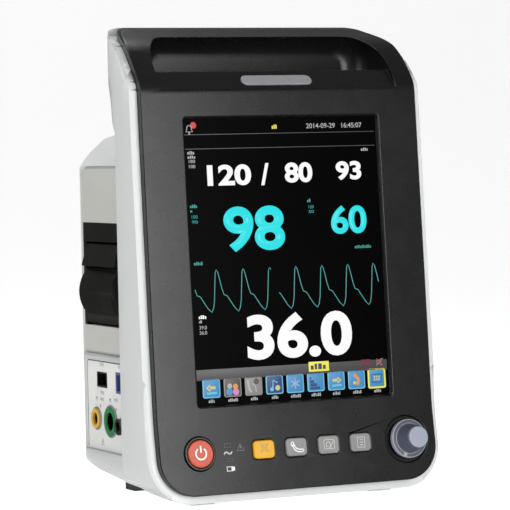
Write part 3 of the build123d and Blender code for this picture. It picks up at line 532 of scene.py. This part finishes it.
SOCKET_RIM = plastic("socket_rim_grey", (0.20, 0.205, 0.20), (0.15, 0.155, 0.15), (0.35, 0.5), patch=90.0,
                     relief=0.12, worn_and_highlit=(0.32, 0.32, 0.31))
KNOB_SLATE = plastic("knob_slate", (0.085, 0.095, 0.125), (0.07, 0.078, 0.10), (0.32, 0.45), cloud=0.6,
                     patch=60.0, relief=0.12, worn_and_highlit=(0.17, 0.18, 0.22))
KNOB_RIM = plastic("knob_rim_grey", (0.36, 0.365, 0.41), (0.30, 0.305, 0.345), (0.28, 0.4), cloud=0.6,
                   patch=70.0, relief=0.08, worn_and_highlit=(0.5, 0.52, 0.56))
KNOB_PALE = plastic("knob_cap_grey", (0.31, 0.335, 0.41), (0.26, 0.285, 0.355), (0.28, 0.4), cloud=0.6,
                    patch=70.0, relief=0.08, worn_and_highlit=(0.5, 0.52, 0.6))
SOCKET_BLUE = plastic("socket_blue", (0.06, 0.09, 0.24), (0.045, 0.07, 0.19), (0.35, 0.5), relief=0.15,
                      worn_and_highlit=(0.12, 0.16, 0.36))
SOCKET_YELLOW = plastic("socket_yellow", (0.68, 0.40, 0.04), (0.58, 0.33, 0.03), (0.35, 0.5), patch=90.0,
                        relief=0.15, worn_and_highlit=(0.8, 0.55, 0.15))
SOCKET_GREEN = plastic("socket_green", (0.015, 0.22, 0.055), (0.01, 0.16, 0.04), (0.35, 0.5), patch=90.0,
                       relief=0.15, worn_and_highlit=(0.05, 0.35, 0.12))
RUBBER = plastic("foot_rubber", (0.03, 0.03, 0.032), (0.05, 0.05, 0.05), (0.65, 0.85), cloud=0.7, patch=70.0,
                 relief=0.35, worn_and_highlit=(0.09, 0.09, 0.09))
BOARD_GREEN = plastic("circuit_board", (0.01, 0.12, 0.045), (0.015, 0.085, 0.03), (0.3, 0.45), cloud=0.8,
                      patch=120.0, relief=0.2)
NYLON = plastic("gear_nylon", (0.68, 0.66, 0.58), (0.6, 0.58, 0.5), (0.4, 0.55), patch=80.0, relief=0.1)
PAPER = plastic("paper", (0.86, 0.86, 0.83), (0.8, 0.8, 0.76), (0.7, 0.85), patch=60.0, grain=2200.0,
                relief=0.2)
BATTERY_BLUE = plastic("battery_blue", (0.03, 0.10, 0.30), (0.025, 0.08, 0.24), (0.35, 0.5), patch=30.0,
                       relief=0.1)
SILICONE = plastic("silicone", (0.62, 0.62, 0.58), (0.55, 0.55, 0.5), (0.4, 0.55), patch=60.0, relief=0.1)
STEEL = metal("shaft_steel", (0.62, 0.62, 0.61), (0.48, 0.47, 0.45))
SCREW_STEEL = metal("screw_steel", (0.5, 0.5, 0.5), (0.35, 0.34, 0.33), 200.0, 700.0)
BRASS = metal("brass", (0.72, 0.52, 0.22), (0.5, 0.34, 0.13))
PLATED = metal("plated_brass", (0.16, 0.16, 0.165), (0.09, 0.09, 0.095), 300.0, 900.0)
ALLOY = metal("bracket_steel", (0.7, 0.7, 0.7), (0.55, 0.55, 0.54), 30.0, 500.0)

SCREEN_WHITE = lit("display_white", (1, 1, 1), 1.0)
SCREEN_CYAN = lit("display_cyan", (0.02, 0.78, 0.82), 1.0)
SCREEN_TRACE = lit("display_trace", (0.05, 0.40, 0.38), 0.8)
SCREEN_PALE = lit("display_pale", (0.75, 0.75, 0.75), 0.55)
SCREEN_TEAL = lit("display_teal", (0.02, 0.5, 0.42), 0.6)
SCREEN_LINE = lit("display_line", (0.11, 0.11, 0.12), 0.6)
SCREEN_BAR = lit("display_bar", (0.055, 0.055, 0.06), 0.8)
SCREEN_YELLOW = lit("display_yellow", (0.9, 0.85, 0.08), 0.95)
SCREEN_RED = lit("display_red", (0.75, 0.03, 0.03), 0.8)
SCREEN_DARK_RED = lit("display_dark_red", (0.22, 0.01, 0.02), 0.8)
SCREEN_BLUE = lit("display_blue", (0.045, 0.30, 0.62), 0.85)
SCREEN_SKY = lit("display_sky", (0.16, 0.56, 0.80), 0.9)
SCREEN_NAVY = lit("display_navy", (0.01, 0.06, 0.24), 0.8)
SCREEN_ORANGE = lit("display_orange", (0.85, 0.32, 0.05), 0.85)
SCREEN_GREY = lit("display_grey", (0.30, 0.29, 0.28), 0.8)
SCREEN_BROWN = lit("display_brown", (0.09, 0.07, 0.06), 0.8)
SCREEN_PINK = lit("display_pink", (0.75, 0.25, 0.55), 0.85)
SCREEN_SAND = lit("display_sand", (0.70, 0.62, 0.22), 0.85)

CAD_FINISHES = {
    "display_window": GLASS_BLACK, "display_panel": ALLOY, "display_bracket": ALLOY,
    "alarm_light_board": BOARD_GREEN, "key_switches": RING_BLACK, "key_board": BOARD_GREEN,
    "encoder_body": ALLOY, "encoder_rotor": RING_BLACK, "encoder_shaft": STEEL, "socket_board": BOARD_GREEN,
    "platen_gear": NYLON, "idler_gear": NYLON, "motor_pinion": BRASS, "platen_roller": RUBBER,
    "platen_shaft": STEEL, "print_head": ALLOY, "recorder_motor": ALLOY, "motor_shaft": STEEL,
    "paper_roll": PAPER, "paper_spindle": NYLON, "recorder_pins": STEEL, "chassis": ALLOY,
    "main_board": BOARD_GREEN, "board_standoffs": BRASS, "power_supply": BOARD_GREEN,
    "battery_pack": BATTERY_BLUE, "nibp_pump": ALLOY, "nibp_valve": ALLOY, "air_tube": SILICONE,
    "speaker": RING_BLACK, "earth_stud": BRASS, "mount_inserts": BRASS, "case_screws": SCREW_STEEL,
}
for node, material in CAD_FINISHES.items():
    for place in NODES[node].material_slots:
        place.material = material


# ---- mouldings -------------------------------------------------------------------------------
def on_rim(point):
    """True on the outer front edge of the white rim, below the handle."""
    outside = abs(point.x) > 92 or math.hypot(abs(point.x) - 69, point.z - 28) > 23 and point.z < 30
    front = -43.47 + (point.z - 140.9) * 0.0722 + (5.0 if point.z > 50 else 5.0 + 0.095 * (point.z - 50))
    return outside and abs(point.y - front) < 1.5 and 6 < point.z < 230


finish(cast("front_bezel", "bezel_moulding", 0.7, lambda p: not (-52 < p.x < -34 and p.z < 42)), BEZEL_BLACK,
       "case", "bezel_black", "front_bezel")
finish(cast("front_housing", "front_shell", 2.2, on_rim, whole=False), CASE_WHITE, "case", "case_white",
       "front_housing")
finish(cast("rear_housing", "rear_shell", 0, whole=False), CASE_WHITE, "case", "case_white", "rear_housing")
finish(cast("module_panel", "recorder_plate", 0), PANEL_GREY, "case", "panel_grey", "module_panel")
finish(cast("connector_panel", "socket_plate", 0.35), SOCKET_PANEL, "case", "panel_grey", "connector_panel")
finish(cast("recorder_frame", "recorder_housing", 0.5), RECORDER_BLACK, "case", "recorder_black",
       "recorder_frame")
finish(cast("recorder_door", "recorder_door_skin", 0.5, lambda p: p.x < -87.3), RECORDER_BLACK, "door",
       "recorder_black", "recorder_door")
finish(cast("release_lever", "release_flap", 0.4), RECORDER_BLACK, "lever", "recorder_black", "release_lever")
finish(cast("battery_cover", "battery_door", 0.4), CASE_WHITE, "case", "case_white", "battery_cover")
finish(cast("rubber_feet", "feet", 0.8), RUBBER, "case", "foot_rubber", "rubber_feet")
finish(cast("mains_inlet", "inlet_moulding", 0.4), RING_BLACK, "case", "socket_black", "mains_inlet")
finish(cast("data_ports", "port_shells", 0.3), PLATED, "case", "plated_brass", "data_ports")
finish(cast("temp_socket", "temperature_socket", 0.4), RING_BLACK, "case", "socket_black", "temp_socket")
finish(cast("spo2_socket", "oxygen_socket", 0.4), SOCKET_BLUE, "case", "socket_blue", "spo2_socket")
finish(cast("probe_socket", "probe_inlet", 0.5), SOCKET_YELLOW, "case", "socket_yellow", "probe_socket")
finish(cast("ecg_socket", "heart_socket", 0.5), SOCKET_GREEN, "case", "socket_green", "ecg_socket")
finish(cast("nibp_connector", "cuff_coupling", 0.4), PLATED, "case", "plated_brass", "nibp_connector")
finish(cast("alarm_lens", "brow_lens", 0.45), LENS_GREY, "case", "alarm_lens", "alarm_lens")
finish(cast("indicator_windows", "lamp_windows", 0), BEZEL_BLACK, "case", "indicator_clear",
       "indicator_windows")
finish(cast("power_button_ring", "button_collar", 0.5), RING_BLACK, "case", "ring_black", "power_button_ring")
finish(cast("power_button", "power_cap", 0.5), POWER_RED, "power_button", "power_red", "power_button")
for key in KEYS:
    shade = KEY_YELLOW if key == "alarm_silence_key" else KEY_GREY
    finish(cast(key, key + "_cap", 0.9), shade, key,
           "key_yellow" if key == "alarm_silence_key" else "key_grey", key)
for name, y, z, inner, outer in (("probe_rim", 90.8, 45.1, 6.1, 7.0), ("heart_rim", 69.6, 44.7, 8.6, 9.8)):
    rim = turned(name, ((outer, 0.0), (outer, 0.5), (outer - 0.3, 0.8), (inner + 0.2, 0.8), (inner, 0.5),
                        (inner, 0.0)))
    finish(settle_side(rim, -PANEL_FACE, y, z), SOCKET_RIM, "case", "panel_grey")


for name, y, z, radius, shade, slot in (("probe_insert", 90.8, 45.1, 3.0, SOCKET_YELLOW, "socket_yellow"),
                                        ("heart_insert", 69.6, 44.7, 5.6, SOCKET_GREEN, "socket_green")):
    depth = 5.0 if name == "probe_insert" else 4.4
    face = [turned(name, ((radius, 0), (radius, 0.6), (radius - 0.4, 0.8), (0.4 * radius, 0.8),
                          (0.36 * radius, 0.5)))]
    for k in range(6):
        turn = math.radians(60 * k)
        pin = turned(name + str(k), ((0.5, 0), (0.5, 2.4), (0.3, 2.8)), 16)
        pin.location = (0.66 * radius * math.cos(turn), 0.66 * radius * math.sin(turn), 0)
        fix_place(pin)
        face.append(pin)
    finish(settle_side(join(name, face), -PANEL_FACE + depth, y, z), shade, "case", slot)


def flank_print(name, points, y, z, width, material, closed=False):
    """A thin print, or a line of painted shade, on the socket plate; points run towards the front and up."""
    finish(settle_side(line(name, points, width, closed=closed), -PANEL_FACE, y, z), material, "case")


def triangle(size):
    return [(-size, size * 0.8), (size, size * 0.8), (0, -size * 0.8)]


flank_print("probe_arrow", triangle(0.9), 90.8, 57.2, 0.9, PRINT_DARK, True)
flank_print("heart_arrow", triangle(0.9), 70.4, 57.4, 0.9, PRINT_DARK, True)
flank_print("probe_dot", [(-0.5, 0), (0.5, 0)], 85.4, 53.0, 1.5, PRINT_DARK)
flank_print("heart_dot", [(-0.5, 0), (0.5, 0)], 61.6, 52.6, 1.5, PRINT_DARK)
flank_print("caution_side", [(-2.0, -1.8), (2.0, -1.8), (0, 2.0)], 83.0, 31.5, 0.45, PRINT_GREY, True)
flank_print("caution_side_bar", [(0, -0.7), (0, 0.9)], 83.0, 31.5, 0.5, PRINT_GREY)
for row, y, z in (("temp_mark", 82.3, 78.0), ("temp_note", 82.3, 61.0), ("oxygen_mark", 55.0, 78.0),
                  ("probe_note", 83.0, 57.0), ("heart_note", 62.0, 58.0)):
    for k in range(4):
        low = -1.1 if k % 2 else -0.5
        flank_print(row + str(k), [(1.5 * k - 2.2, low), (1.5 * k - 2.2, 1.1)], y, z, 0.6, PRINT_GREY)
# a dark line painted along the plate as the shade inside a groove
flank_print("groove_painted_shade", [(0, -26.0), (0, 25.0), (1.2, 26.4), (54, 26.4)], 104.6, 53.5, 0.7, PRINT_DARK)

knob = finish(cast("knob", "knob_grip", 0.5), KNOB_SLATE, "knob", "knob_slate", "knob")
knob.data.materials.append(KNOB_RIM)
place, lean = CHIN
axis = Vector((0, -math.cos(lean), math.sin(lean)))
hub = place + Vector((KNOB_X * MM, 0, 0))
select_faces(knob, lambda face: (face.center - hub - axis * (face.center - hub).dot(axis)).length > 9.0 * MM)
knob.active_material_index = 1
bpy.ops.object.material_slot_assign()
put_down()
finish(cast("knob_cap", "knob_top", 0.4), KNOB_PALE, "knob", "knob_cap_grey", "knob_cap")


# ---- the picture on the screen ---------------------------------------------------------------
def across(u):
    return (u - 0.5) * SCREEN[0]


def down(v):
    return (0.5 - v) * SCREEN[1]


def show(piece, colour):
    return finish(piece, colour, "case", "display")


def figures(name, text, u0, u1, v0, v1, colour, heavy=0.02):
    show(numerals(name, text, FACE, across(u0), across(u1), down(v1), down(v0), GLASS + 0.02, heavy), colour)


def panel_tile(name, u, v, width, height, colour, corner=0.5, lift=0.0):
    piece = tablet(name, width, height, 0.0, 0.05, corner, 0.02, 3)
    show(settle(piece, FACE, across(u), down(v), GLASS + 0.02 + lift), colour)


def caption(name, u, v, widths, height, colour, plane=FACE, lift=GLASS + 0.02, gap=0.35, body="case"):
    """A row of small upright dashes where a caption stands."""
    strokes = []
    x = 0.0
    for k, width in enumerate(widths):
        stroke = tablet(name + str(k), width, height * (1.0 if k % 3 else 0.72), 0.0, 0.05, 0.12, 0.02, 2)
        pick_up(stroke)
        bpy.ops.transform.translate(value=(x + width / 2, 0.0 if k % 3 else -0.14 * height, 0))
        fix_place(stroke)
        strokes.append(stroke)
        x += width + gap
    piece = join(name, strokes)
    if plane is FACE:
        u, v = across(u), down(v)
    settle(piece, plane, u, v, lift)
    return finish(piece, colour, body, "display")


def trace(name, points, colour, width=0.5):
    piece = line(name, [(across(u), down(v)) for u, v in points], width)
    show(settle(piece, FACE, 0, 0, GLASS + 0.02), colour)


figures("upper_pressure", "120", 0.11, 0.335, 0.162, 0.236, SCREEN_WHITE, 0.035)
figures("slash", "/", 0.385, 0.428, 0.160, 0.238, SCREEN_WHITE, 0.03)
figures("lower_pressure", "80", 0.51, 0.655, 0.160, 0.232, SCREEN_WHITE, 0.035)
figures("mean_pressure", "93", 0.78, 0.915, 0.160, 0.228, SCREEN_WHITE, 0.035)
figures("oxygen", "98", 0.18, 0.495, 0.310, 0.470, SCREEN_CYAN, 0.03)
figures("pulse_rate", "60", 0.74, 0.93, 0.318, 0.420, SCREEN_CYAN, 0.03)
figures("temperature", "36.0", 0.27, 0.82, 0.690, 0.852, SCREEN_WHITE, 0.035)
figures("clock", "2014-09-29   16:45:07", 0.635, 0.93, 0.022, 0.040, SCREEN_PALE, 0.01)
for k, text in enumerate(("180", "100")):
    figures("pressure_limit" + text, text, 0.02, 0.052, 0.142 + 0.018 * k, 0.154 + 0.018 * k, SCREEN_PALE,
            0.01)
for k, text in enumerate(("100", "90")):
    figures("oxygen_limit" + text, text, 0.02, 0.05, 0.336 + 0.018 * k, 0.348 + 0.018 * k, SCREEN_TEAL, 0.01)
for k, text in enumerate(("120", "50")):
    figures("pulse_limit" + text, text, 0.625, 0.652, 0.314 + 0.017 * k, 0.325 + 0.017 * k, SCREEN_TEAL, 0.01)
for k, text in enumerate(("39.0", "36.0")):
    figures("heat_limit" + text, text, 0.03, 0.068, 0.722 + 0.018 * k, 0.735 + 0.018 * k, SCREEN_PALE, 0.01)
caption("pressure_name", 0.015, 0.118, (0.9, 0.5, 0.9, 1.0), 2.0, SCREEN_PALE)
caption("pressure_unit", 0.015, 0.133, (1.1, 0.9, 0.8, 1.0), 1.7, SCREEN_PALE)
caption("oxygen_name", 0.015, 0.305, (0.9, 0.9, 1.0, 0.6), 2.0, SCREEN_TEAL)
caption("oxygen_unit", 0.015, 0.321, (1.2,), 1.7, SCREEN_TEAL)
caption("pulse_name", 0.62, 0.297, (0.9, 0.9), 2.0, SCREEN_TEAL)
caption("source_name", 0.86, 0.468, (0.9, 0.7, 0.9, 0.7, 0.8, 0.7, 0.6, 0.9, 0.8, 0.7), 1.8, SCREEN_TEAL)
caption("trace_name", 0.02, 0.505, (1.0, 0.5, 0.9, 0.7, 0.9), 2.0, SCREEN_TEAL)
caption("heat_name", 0.03, 0.692, (0.8, 0.8, 1.2, 0.9), 2.1, SCREEN_WHITE)
caption("heat_unit", 0.03, 0.708, (0.5, 0.9), 1.7, SCREEN_PALE)
caption("mode_name", 0.92, 0.119, (1.1, 0.8, 0.8, 0.8), 1.8, SCREEN_PALE)
caption("patient_kind", 0.455, 0.032, (0.9, 0.8, 0.8), 2.4, SCREEN_YELLOW)
for k, v in enumerate((0.055, 0.105)):
    panel_tile("ruled_line" + str(k), 0.5, v, 124.5, 0.35, SCREEN_LINE, 0.1)

BEAT = 0.137              # one beat across the screen
PULSE = ((0.0, 1.0), (0.05, 0.95), (0.11, 0.78), (0.18, 0.55), (0.25, 0.405), (0.32, 0.39), (0.37, 0.37),
         (0.48, 0.25), (0.63, 0.09), (0.76, 0.0), (0.83, 0.08), (0.88, 0.26), (0.92, 0.6), (0.96, 0.93))


def beats(first, last):
    """Pulse wave between two moments, counted in beats from the first peak."""
    points = []
    for beat in range(-1, 8):
        for part, height in PULSE:
            if first <= beat + part <= last:
                points.append((0.13 + BEAT * (beat + part), 0.677 - 0.148 * height))
    return points


trace("pulse_trace_old", beats(-0.88, 2.06), SCREEN_TRACE)
trace("pulse_trace_new", beats(2.31, 6.2), SCREEN_TRACE)

# alarm sign, status bar and demonstration tag
piece = join("alarm_sign_bell", [line("bell_side", arc(1.5, 200, -20, 10, 0, 0.6) + [(2.1, -1.6),
                                                                                     (-2.1, -1.6)], 0.5,
                                      closed=True), line("bell_stick", [(0, -1.8), (0, -3.2)], 0.9)])
show(settle(piece, FACE, across(0.03), down(0.035), GLASS + 0.02), SCREEN_PALE)
show(settle(turned("alarm_count", ((1.9, 0), (1.9, 0.05), (1.7, 0.07)), 24), FACE, across(0.052), down(0.022),
            GLASS + 0.05), SCREEN_RED)
panel_tile("status_bar", 0.5, 0.894, 125.0, 6.2, SCREEN_BAR, 0.2)
panel_tile("mode_tag", 0.635, 0.887, 13.4, 5.8, SCREEN_YELLOW, 0.3, 0.04)
caption("mode_tag_print", 0.592, 0.887, (1.9, 1.6, 2.4, 1.9), 3.4, SCREEN_BAR, lift=GLASS + 0.14, gap=0.7)
piece = join("lost_link", [line("link_low", [(-3.8, -1.4), (-1.6, -0.6), (1.6, -0.6), (3.8, -1.4)], 0.9),
                           line("link_high", [(-3.4, 1.5), (3.4, 1.5)], 0.8),
                           line("link_mid", [(-1.4, 0.4), (1.4, 0.4)], 0.7)])
show(settle(piece, FACE, across(0.885), down(0.884), GLASS + 0.1), SCREEN_DARK_RED)
piece = join("sound_off", [line("horn", [(-1.8, -0.8), (-0.6, -0.8), (1.2, -2.0), (1.2, 2.0), (-0.6, 0.8),
                                         (-1.8, 0.8)],
                                0.45, closed=True), line("strike", [(-2.2, -2.1), (2.2, 2.1)], 0.5)])
show(settle(piece, FACE, across(0.958), down(0.884), GLASS + 0.1), SCREEN_GREY)
piece = line("sound_off_cross", [(-2.0, 2.1), (2.2, -2.1)], 0.5)
show(settle(piece, FACE, across(0.958), down(0.884), GLASS + 0.12), SCREEN_RED)

# nine soft keys along the foot of the screen
SOFT_KEYS = (SCREEN_BLUE, SCREEN_BROWN, SCREEN_GREY, SCREEN_NAVY, SCREEN_BLUE, SCREEN_BLUE, SCREEN_BLUE,
             SCREEN_BLUE,
             SCREEN_YELLOW)
CAPTIONS = ((0.8, 0.8, 0.6, 0.5), (0.9, 0.8, 0.5, 0.9, 0.8, 0.5), (1.0, 0.5, 0.9, 0.9), (0.8, 0.8, 0.9, 0.6),
            (0.8, 0.6, 0.8, 0.8, 0.8, 0.8), (0.8, 1.0, 0.4, 0.5, 0.8, 0.8), (0.9, 0.4, 0.8, 0.8, 0.5),
            (0.9, 0.8, 0.8, 0.7, 0.8), (1.1, 0.8, 0.8, 0.8))


def glyph(name, k, points, colour, width=1.0, closed=False, lift=0.1):
    piece = line(name, points, width, closed=closed)
    show(settle(piece, FACE, across(0.075 + 0.108 * k), down(0.942), GLASS + lift), colour)


def spot(name, k, x, y, radius, colour, lift=0.1):
    piece = turned(name, ((radius, 0), (radius, 0.04), (0.8 * radius, 0.06)), 20)
    show(settle(piece, FACE, across(0.075 + 0.108 * k) + x, down(0.942) + y, GLASS + lift), colour)


for k, shade in enumerate(SOFT_KEYS):
    u = 0.075 + 0.108 * k
    grown = 0.8 if k == 8 else 0.0
    panel_tile("soft_key_rim" + str(k), u, 0.942, 11.2 + grown, 11.0 + grown,
               SCREEN_YELLOW if k == 8 else SCREEN_SKY
               if shade in (SCREEN_BLUE, SCREEN_NAVY) else SCREEN_GREY, 1.2)
    face = SCREEN_BLUE if k == 8 else shade
    panel_tile("soft_key" + str(k), u, 0.942, 9.9, 9.7, face, 0.9, 0.04)
    caption("soft_key_name" + str(k), u - 0.0042 * len(CAPTIONS[k]), 0.986, CAPTIONS[k], 1.9, SCREEN_PALE)
for k, side in ((0, 1), (6, -1)):
    glyph("arrow" + str(k), k, [(2.6 * side, 0.4), (-1.0 * side, 0.4)], SCREEN_SAND, 1.7)
    glyph("arrow_head" + str(k), k, [(-0.8 * side, 1.9), (-2.9 * side, 0.3), (-0.8 * side, -1.3)],
          SCREEN_SAND, 1.1)
    glyph("arrow_wake" + str(k), k, [(-3.0, -2.8), (3.4, -2.6)], SCREEN_SKY, 1.2)
spot("left_head", 1, -1.8, 0.8, 1.5, SCREEN_PALE)
spot("left_coat", 1, -2.2, -2.6, 2.1, SCREEN_BLUE)
spot("right_head", 1, 1.9, 0.4, 1.6, SCREEN_ORANGE)
spot("right_coat", 1, 2.1, -2.7, 2.0, SCREEN_PINK)
glyph("cuffed_arm", 2, [(-3.6, 3.6), (-3.0, -1.2), (-1.6, -3.6)], SCREEN_PALE, 1.5)
spot("cuff_dark", 2, 1.8, 2.6, 1.7, SCREEN_BROWN)
glyph("cuff_line", 2, [(-0.6, 1.6), (1.2, -0.4), (1.6, -3.6)], SCREEN_PALE, 0.7)
glyph("note_stem", 3, [(-1.2, -2.6), (-0.9, 2.6), (1.9, 1.2)], SCREEN_SKY, 0.8)
spot("note_foot", 3, -1.8, -2.6, 1.2, SCREEN_SKY)
spot("note_wave", 3, 2.0, -1.9, 1.6, SCREEN_SAND)
for k in range(3):
    turn = math.radians(60 * k + 30)
    x, y = 3.2 * math.cos(turn), 3.2 * math.sin(turn)
    glyph("frost" + str(k), 4, [(-x, -y), (x, y)], SCREEN_PINK if k == 1 else SCREEN_SKY, 0.8)
spot("frost_heart", 4, 0, 0, 1.3, SCREEN_PINK, 0.12)
for k in range(4):
    glyph("stair" + str(k), 5, [(-3.8, -3.4 + 1.9 * k), (2.6 - 1.9 * k, -3.4 + 1.9 * k)], SCREEN_NAVY, 1.7)
glyph("quill", 7, [(-1.6, 3.2), (0.9, 0.6), (1.4, -1.0), (0.2, -3.2)], SCREEN_ORANGE, 2.0)
spot("quill_tip", 7, -1.4, -1.8, 1.0, SCREEN_SAND)
glyph("menu_frame", 8, [(-3.3, -2.3), (3.3, -2.3), (3.3, 2.5), (-3.3, 2.5)], SCREEN_NAVY, 0.7, closed=True)
for k in range(6):
    spot("menu_dot" + str(k), 8, 1.5 * (k % 3 - 1), 0.9 - 1.5 * (k // 3), 0.55, SCREEN_SAND)


# ---- prints on the keys and strip ------------------------------------------------------------
def strip_print(name, points, x, y, lift, width, material, body="case", closed=False):
    piece = settle(line(name, points, width, closed=closed), CHIN, x, y, lift)
    return finish(piece, material, body)


strip_print("power_arc", arc(3.3, 125, 415, 36), POWER_X, 0, 1.6, 0.95, PRINT_WHITE, "power_button")
strip_print("power_stroke", [(0, 0.6), (0, 4.6)], POWER_X, 0, 1.6, 0.95, PRINT_WHITE, "power_button")
x = KEYS["alarm_silence_key"]
strip_print("bell", arc(1.7, 195, -15, 12, 0, 0.7) + [(2.2, -1.5), (-2.2, -1.5)], x, 0.4, 1.3, 0.42,
            PRINT_SAND,
            "alarm_silence_key", True)
strip_print("bell_cross_a", [(-2.8, -2.4), (2.8, 2.8)], x, 0.4, 1.32, 0.4, PRINT_SAND, "alarm_silence_key")
strip_print("bell_cross_b", [(-2.8, 2.8), (2.8, -2.4)], x, 0.4, 1.32, 0.4, PRINT_SAND, "alarm_silence_key")
x = KEYS["cuff_key"]
strip_print("bent_arm", [(-3.9, 1.6), (-3.0, 3.1), (-2.0, 2.4), (-1.7, 1.0), (-0.4, -0.9), (1.4, -1.5),
                         (3.6, -1.5),
                         (4.3, -2.3), (3.2, -3.1), (0.4, -2.9), (-1.6, -1.7), (-2.6, 0.4)], x, 0, 1.3, 0.62,
            PRINT_WHITE, "cuff_key", True)
strip_print("arm_cuff", [(-3.4, 0.6), (-1.6, 1.5)], x, 0, 1.3, 0.8, PRINT_WHITE, "cuff_key")
x = KEYS["alarm_reset_key"]
strip_print("reset_box", [(-3.3, -2.5), (3.3, -2.5), (3.6, 2.0), (2.6, 2.9), (-2.6, 2.9), (-3.6, 2.0)], x, 0,
            1.3,
            0.4, PRINT_PALE, "alarm_reset_key", True)
strip_print("reset_bell", arc(1.3, 200, -20, 10, -0.6, 0.3) + [(1.0, -1.3), (-2.2, -1.3)], x, 0, 1.3, 0.42,
            PRINT_PALE,
            "alarm_reset_key", True)
strip_print("reset_stroke", [(0.2, -2.0), (2.8, 1.9)], x, 0, 1.32, 0.42, PRINT_PALE, "alarm_reset_key")
x = KEYS["record_key"]
strip_print("record_sheet", [(-2.4, -3.0), (2.4, -3.0), (2.4, 3.0), (-2.4, 3.0)], x, 0, 1.3, 0.42, PRINT_PALE,
            "record_key", True)
for k in range(3):
    strip_print("record_row" + str(k), [(-0.9, 1.6 - 1.6 * k), (1.3, 1.6 - 1.6 * k)], x, 0, 1.3, 0.4,
                PRINT_PALE,
                "record_key")
strip_print("mains_wave", [(-2.6, -0.7), (-1.7, 0.5), (-0.7, 0.5), (0.7, -0.5), (1.7, -0.5), (2.6, 0.7)],
            -47.3, -0.6,
            0.12, 0.75, PRINT_PALE)
strip_print("mains_lamp", [(-2.0, -1.1), (2.0, -1.1), (2.0, 1.1), (-2.0, 1.1)], -47.3, 3.8, 0.12, 0.35,
            PRINT_DARK,
            closed=True)
strip_print("battery_lamp", [(-1.9, -0.8), (1.9, -0.8), (1.9, 0.8), (-1.9, 0.8)], -46.6, -4.6, 0.12, 0.3,
            PRINT_DARK,
            closed=True)
strip_print("battery_case", [(-2.6, -1.2), (1.2, -1.2), (1.2, 1.2), (-2.6, 1.2)], -46.2, -9.8, 0.12, 0.5,
            PRINT_WHITE,
            closed=True)
strip_print("battery_charge", [(0.2, 0), (2.4, 0)], -46.2, -9.8, 0.12, 2.2, PRINT_WHITE)
strip_print("caution_frame", [(-2.3, -1.9), (2.3, -1.9), (0, 2.1)], -39.2, 2.2, 0.12, 0.4, PRINT_GREY,
            closed=True)
strip_print("caution_bar", [(0, -0.6), (0, 1.0)], -39.2, 2.2, 0.12, 0.5, PRINT_GREY)


# ---- floor, light and camera -----------------------------------------------------------------
put_down()
bpy.ops.mesh.primitive_plane_add(size=6, location=(0, 0, cad_box[0][2]))
floor = name_piece("floor")
select_edges(floor, lambda a, b: a.y > 2.9 and b.y > 2.9)
bpy.ops.mesh.extrude_region_move(TRANSFORM_OT_translate={"value": (0, 0, 3.0)})
select_edges(floor, lambda a, b: a.y > 2.9 and b.y > 2.9 and a.z < 0.1 and b.z < 0.1)
bpy.ops.mesh.bevel(offset=1.5, segments=16, affect="EDGES")
put_down()
smooth(floor, 60)
FLOOR_PALE = plastic("studio_floor", (0.9, 0.9, 0.9), (0.88, 0.88, 0.88), (0.7, 0.8), patch=2.0, grain=300.0,
                     relief=0.02)
pale = FLOOR_PALE.node_tree.nodes["Principled BSDF"]
pale.inputs["Emission Color"].default_value = (1, 1, 1, 1)
pale.inputs["Emission Strength"].default_value = 0.62
floor.data.materials.append(FLOOR_PALE)
floor.visible_glossy = False


def softbox(name, place, aim, width, height, power):
    data = bpy.data.lights.new(name, "AREA")
    data.shape = "RECTANGLE"
    data.size, data.size_y, data.energy = width, height, power
    lamp = bpy.data.objects.new(name, data)
    bpy.context.scene.collection.objects.link(lamp)
    lamp.location = place
    lamp.rotation_euler = (Vector(aim) - Vector(place)).to_track_quat("-Z", "Y").to_euler()


softbox("side_softbox", (-1.3, -0.35, 0.75), (0, 0, 0.14), 0.8, 0.9, 6.5)
softbox("front_softbox", (0.11, -0.86, 0.20), (0.11, 0, 0.20), 0.36, 0.46, 3.8)
softbox("fill_softbox", (-0.6, -1.5, 1.0), (0, 0, 0.15), 0.9, 0.7, 5)
softbox("top_softbox", (-0.1, 0.6, 1.2), (0, 0, 0.2), 1.0, 0.6, 5)

bpy.context.scene.view_settings.view_transform = "Standard"
sky = bpy.data.worlds.new("studio")
bpy.context.scene.world = sky
sky.use_nodes = True
air = sky.node_tree
seen = air.nodes.new("ShaderNodeLightPath")
level = air.nodes.new("ShaderNodeMapRange")
level.inputs["To Min"].default_value = 0.16
level.inputs["To Max"].default_value = 1.0
wire(air, [(seen.outputs["Is Camera Ray"], level.inputs["Value"]),
           (level.outputs["Result"], air.nodes["Background"].inputs["Strength"])])
air.nodes["Background"].inputs["Color"].default_value = (1, 1, 1, 1)

eye = bpy.data.cameras.new("camera")
eye.lens = 199.97
camera = bpy.data.objects.new("camera", eye)
bpy.context.scene.collection.objects.link(camera)
camera.location = (-0.74419, -1.52624, 0.20907)
aim = Vector((0.43730, 0.89843, -0.03963)).to_track_quat("-Z", "Y")
camera.rotation_euler = (aim @ Quaternion((0, 0, 1), math.radians(-1.206))).to_euler()
bpy.context.scene.camera = camera
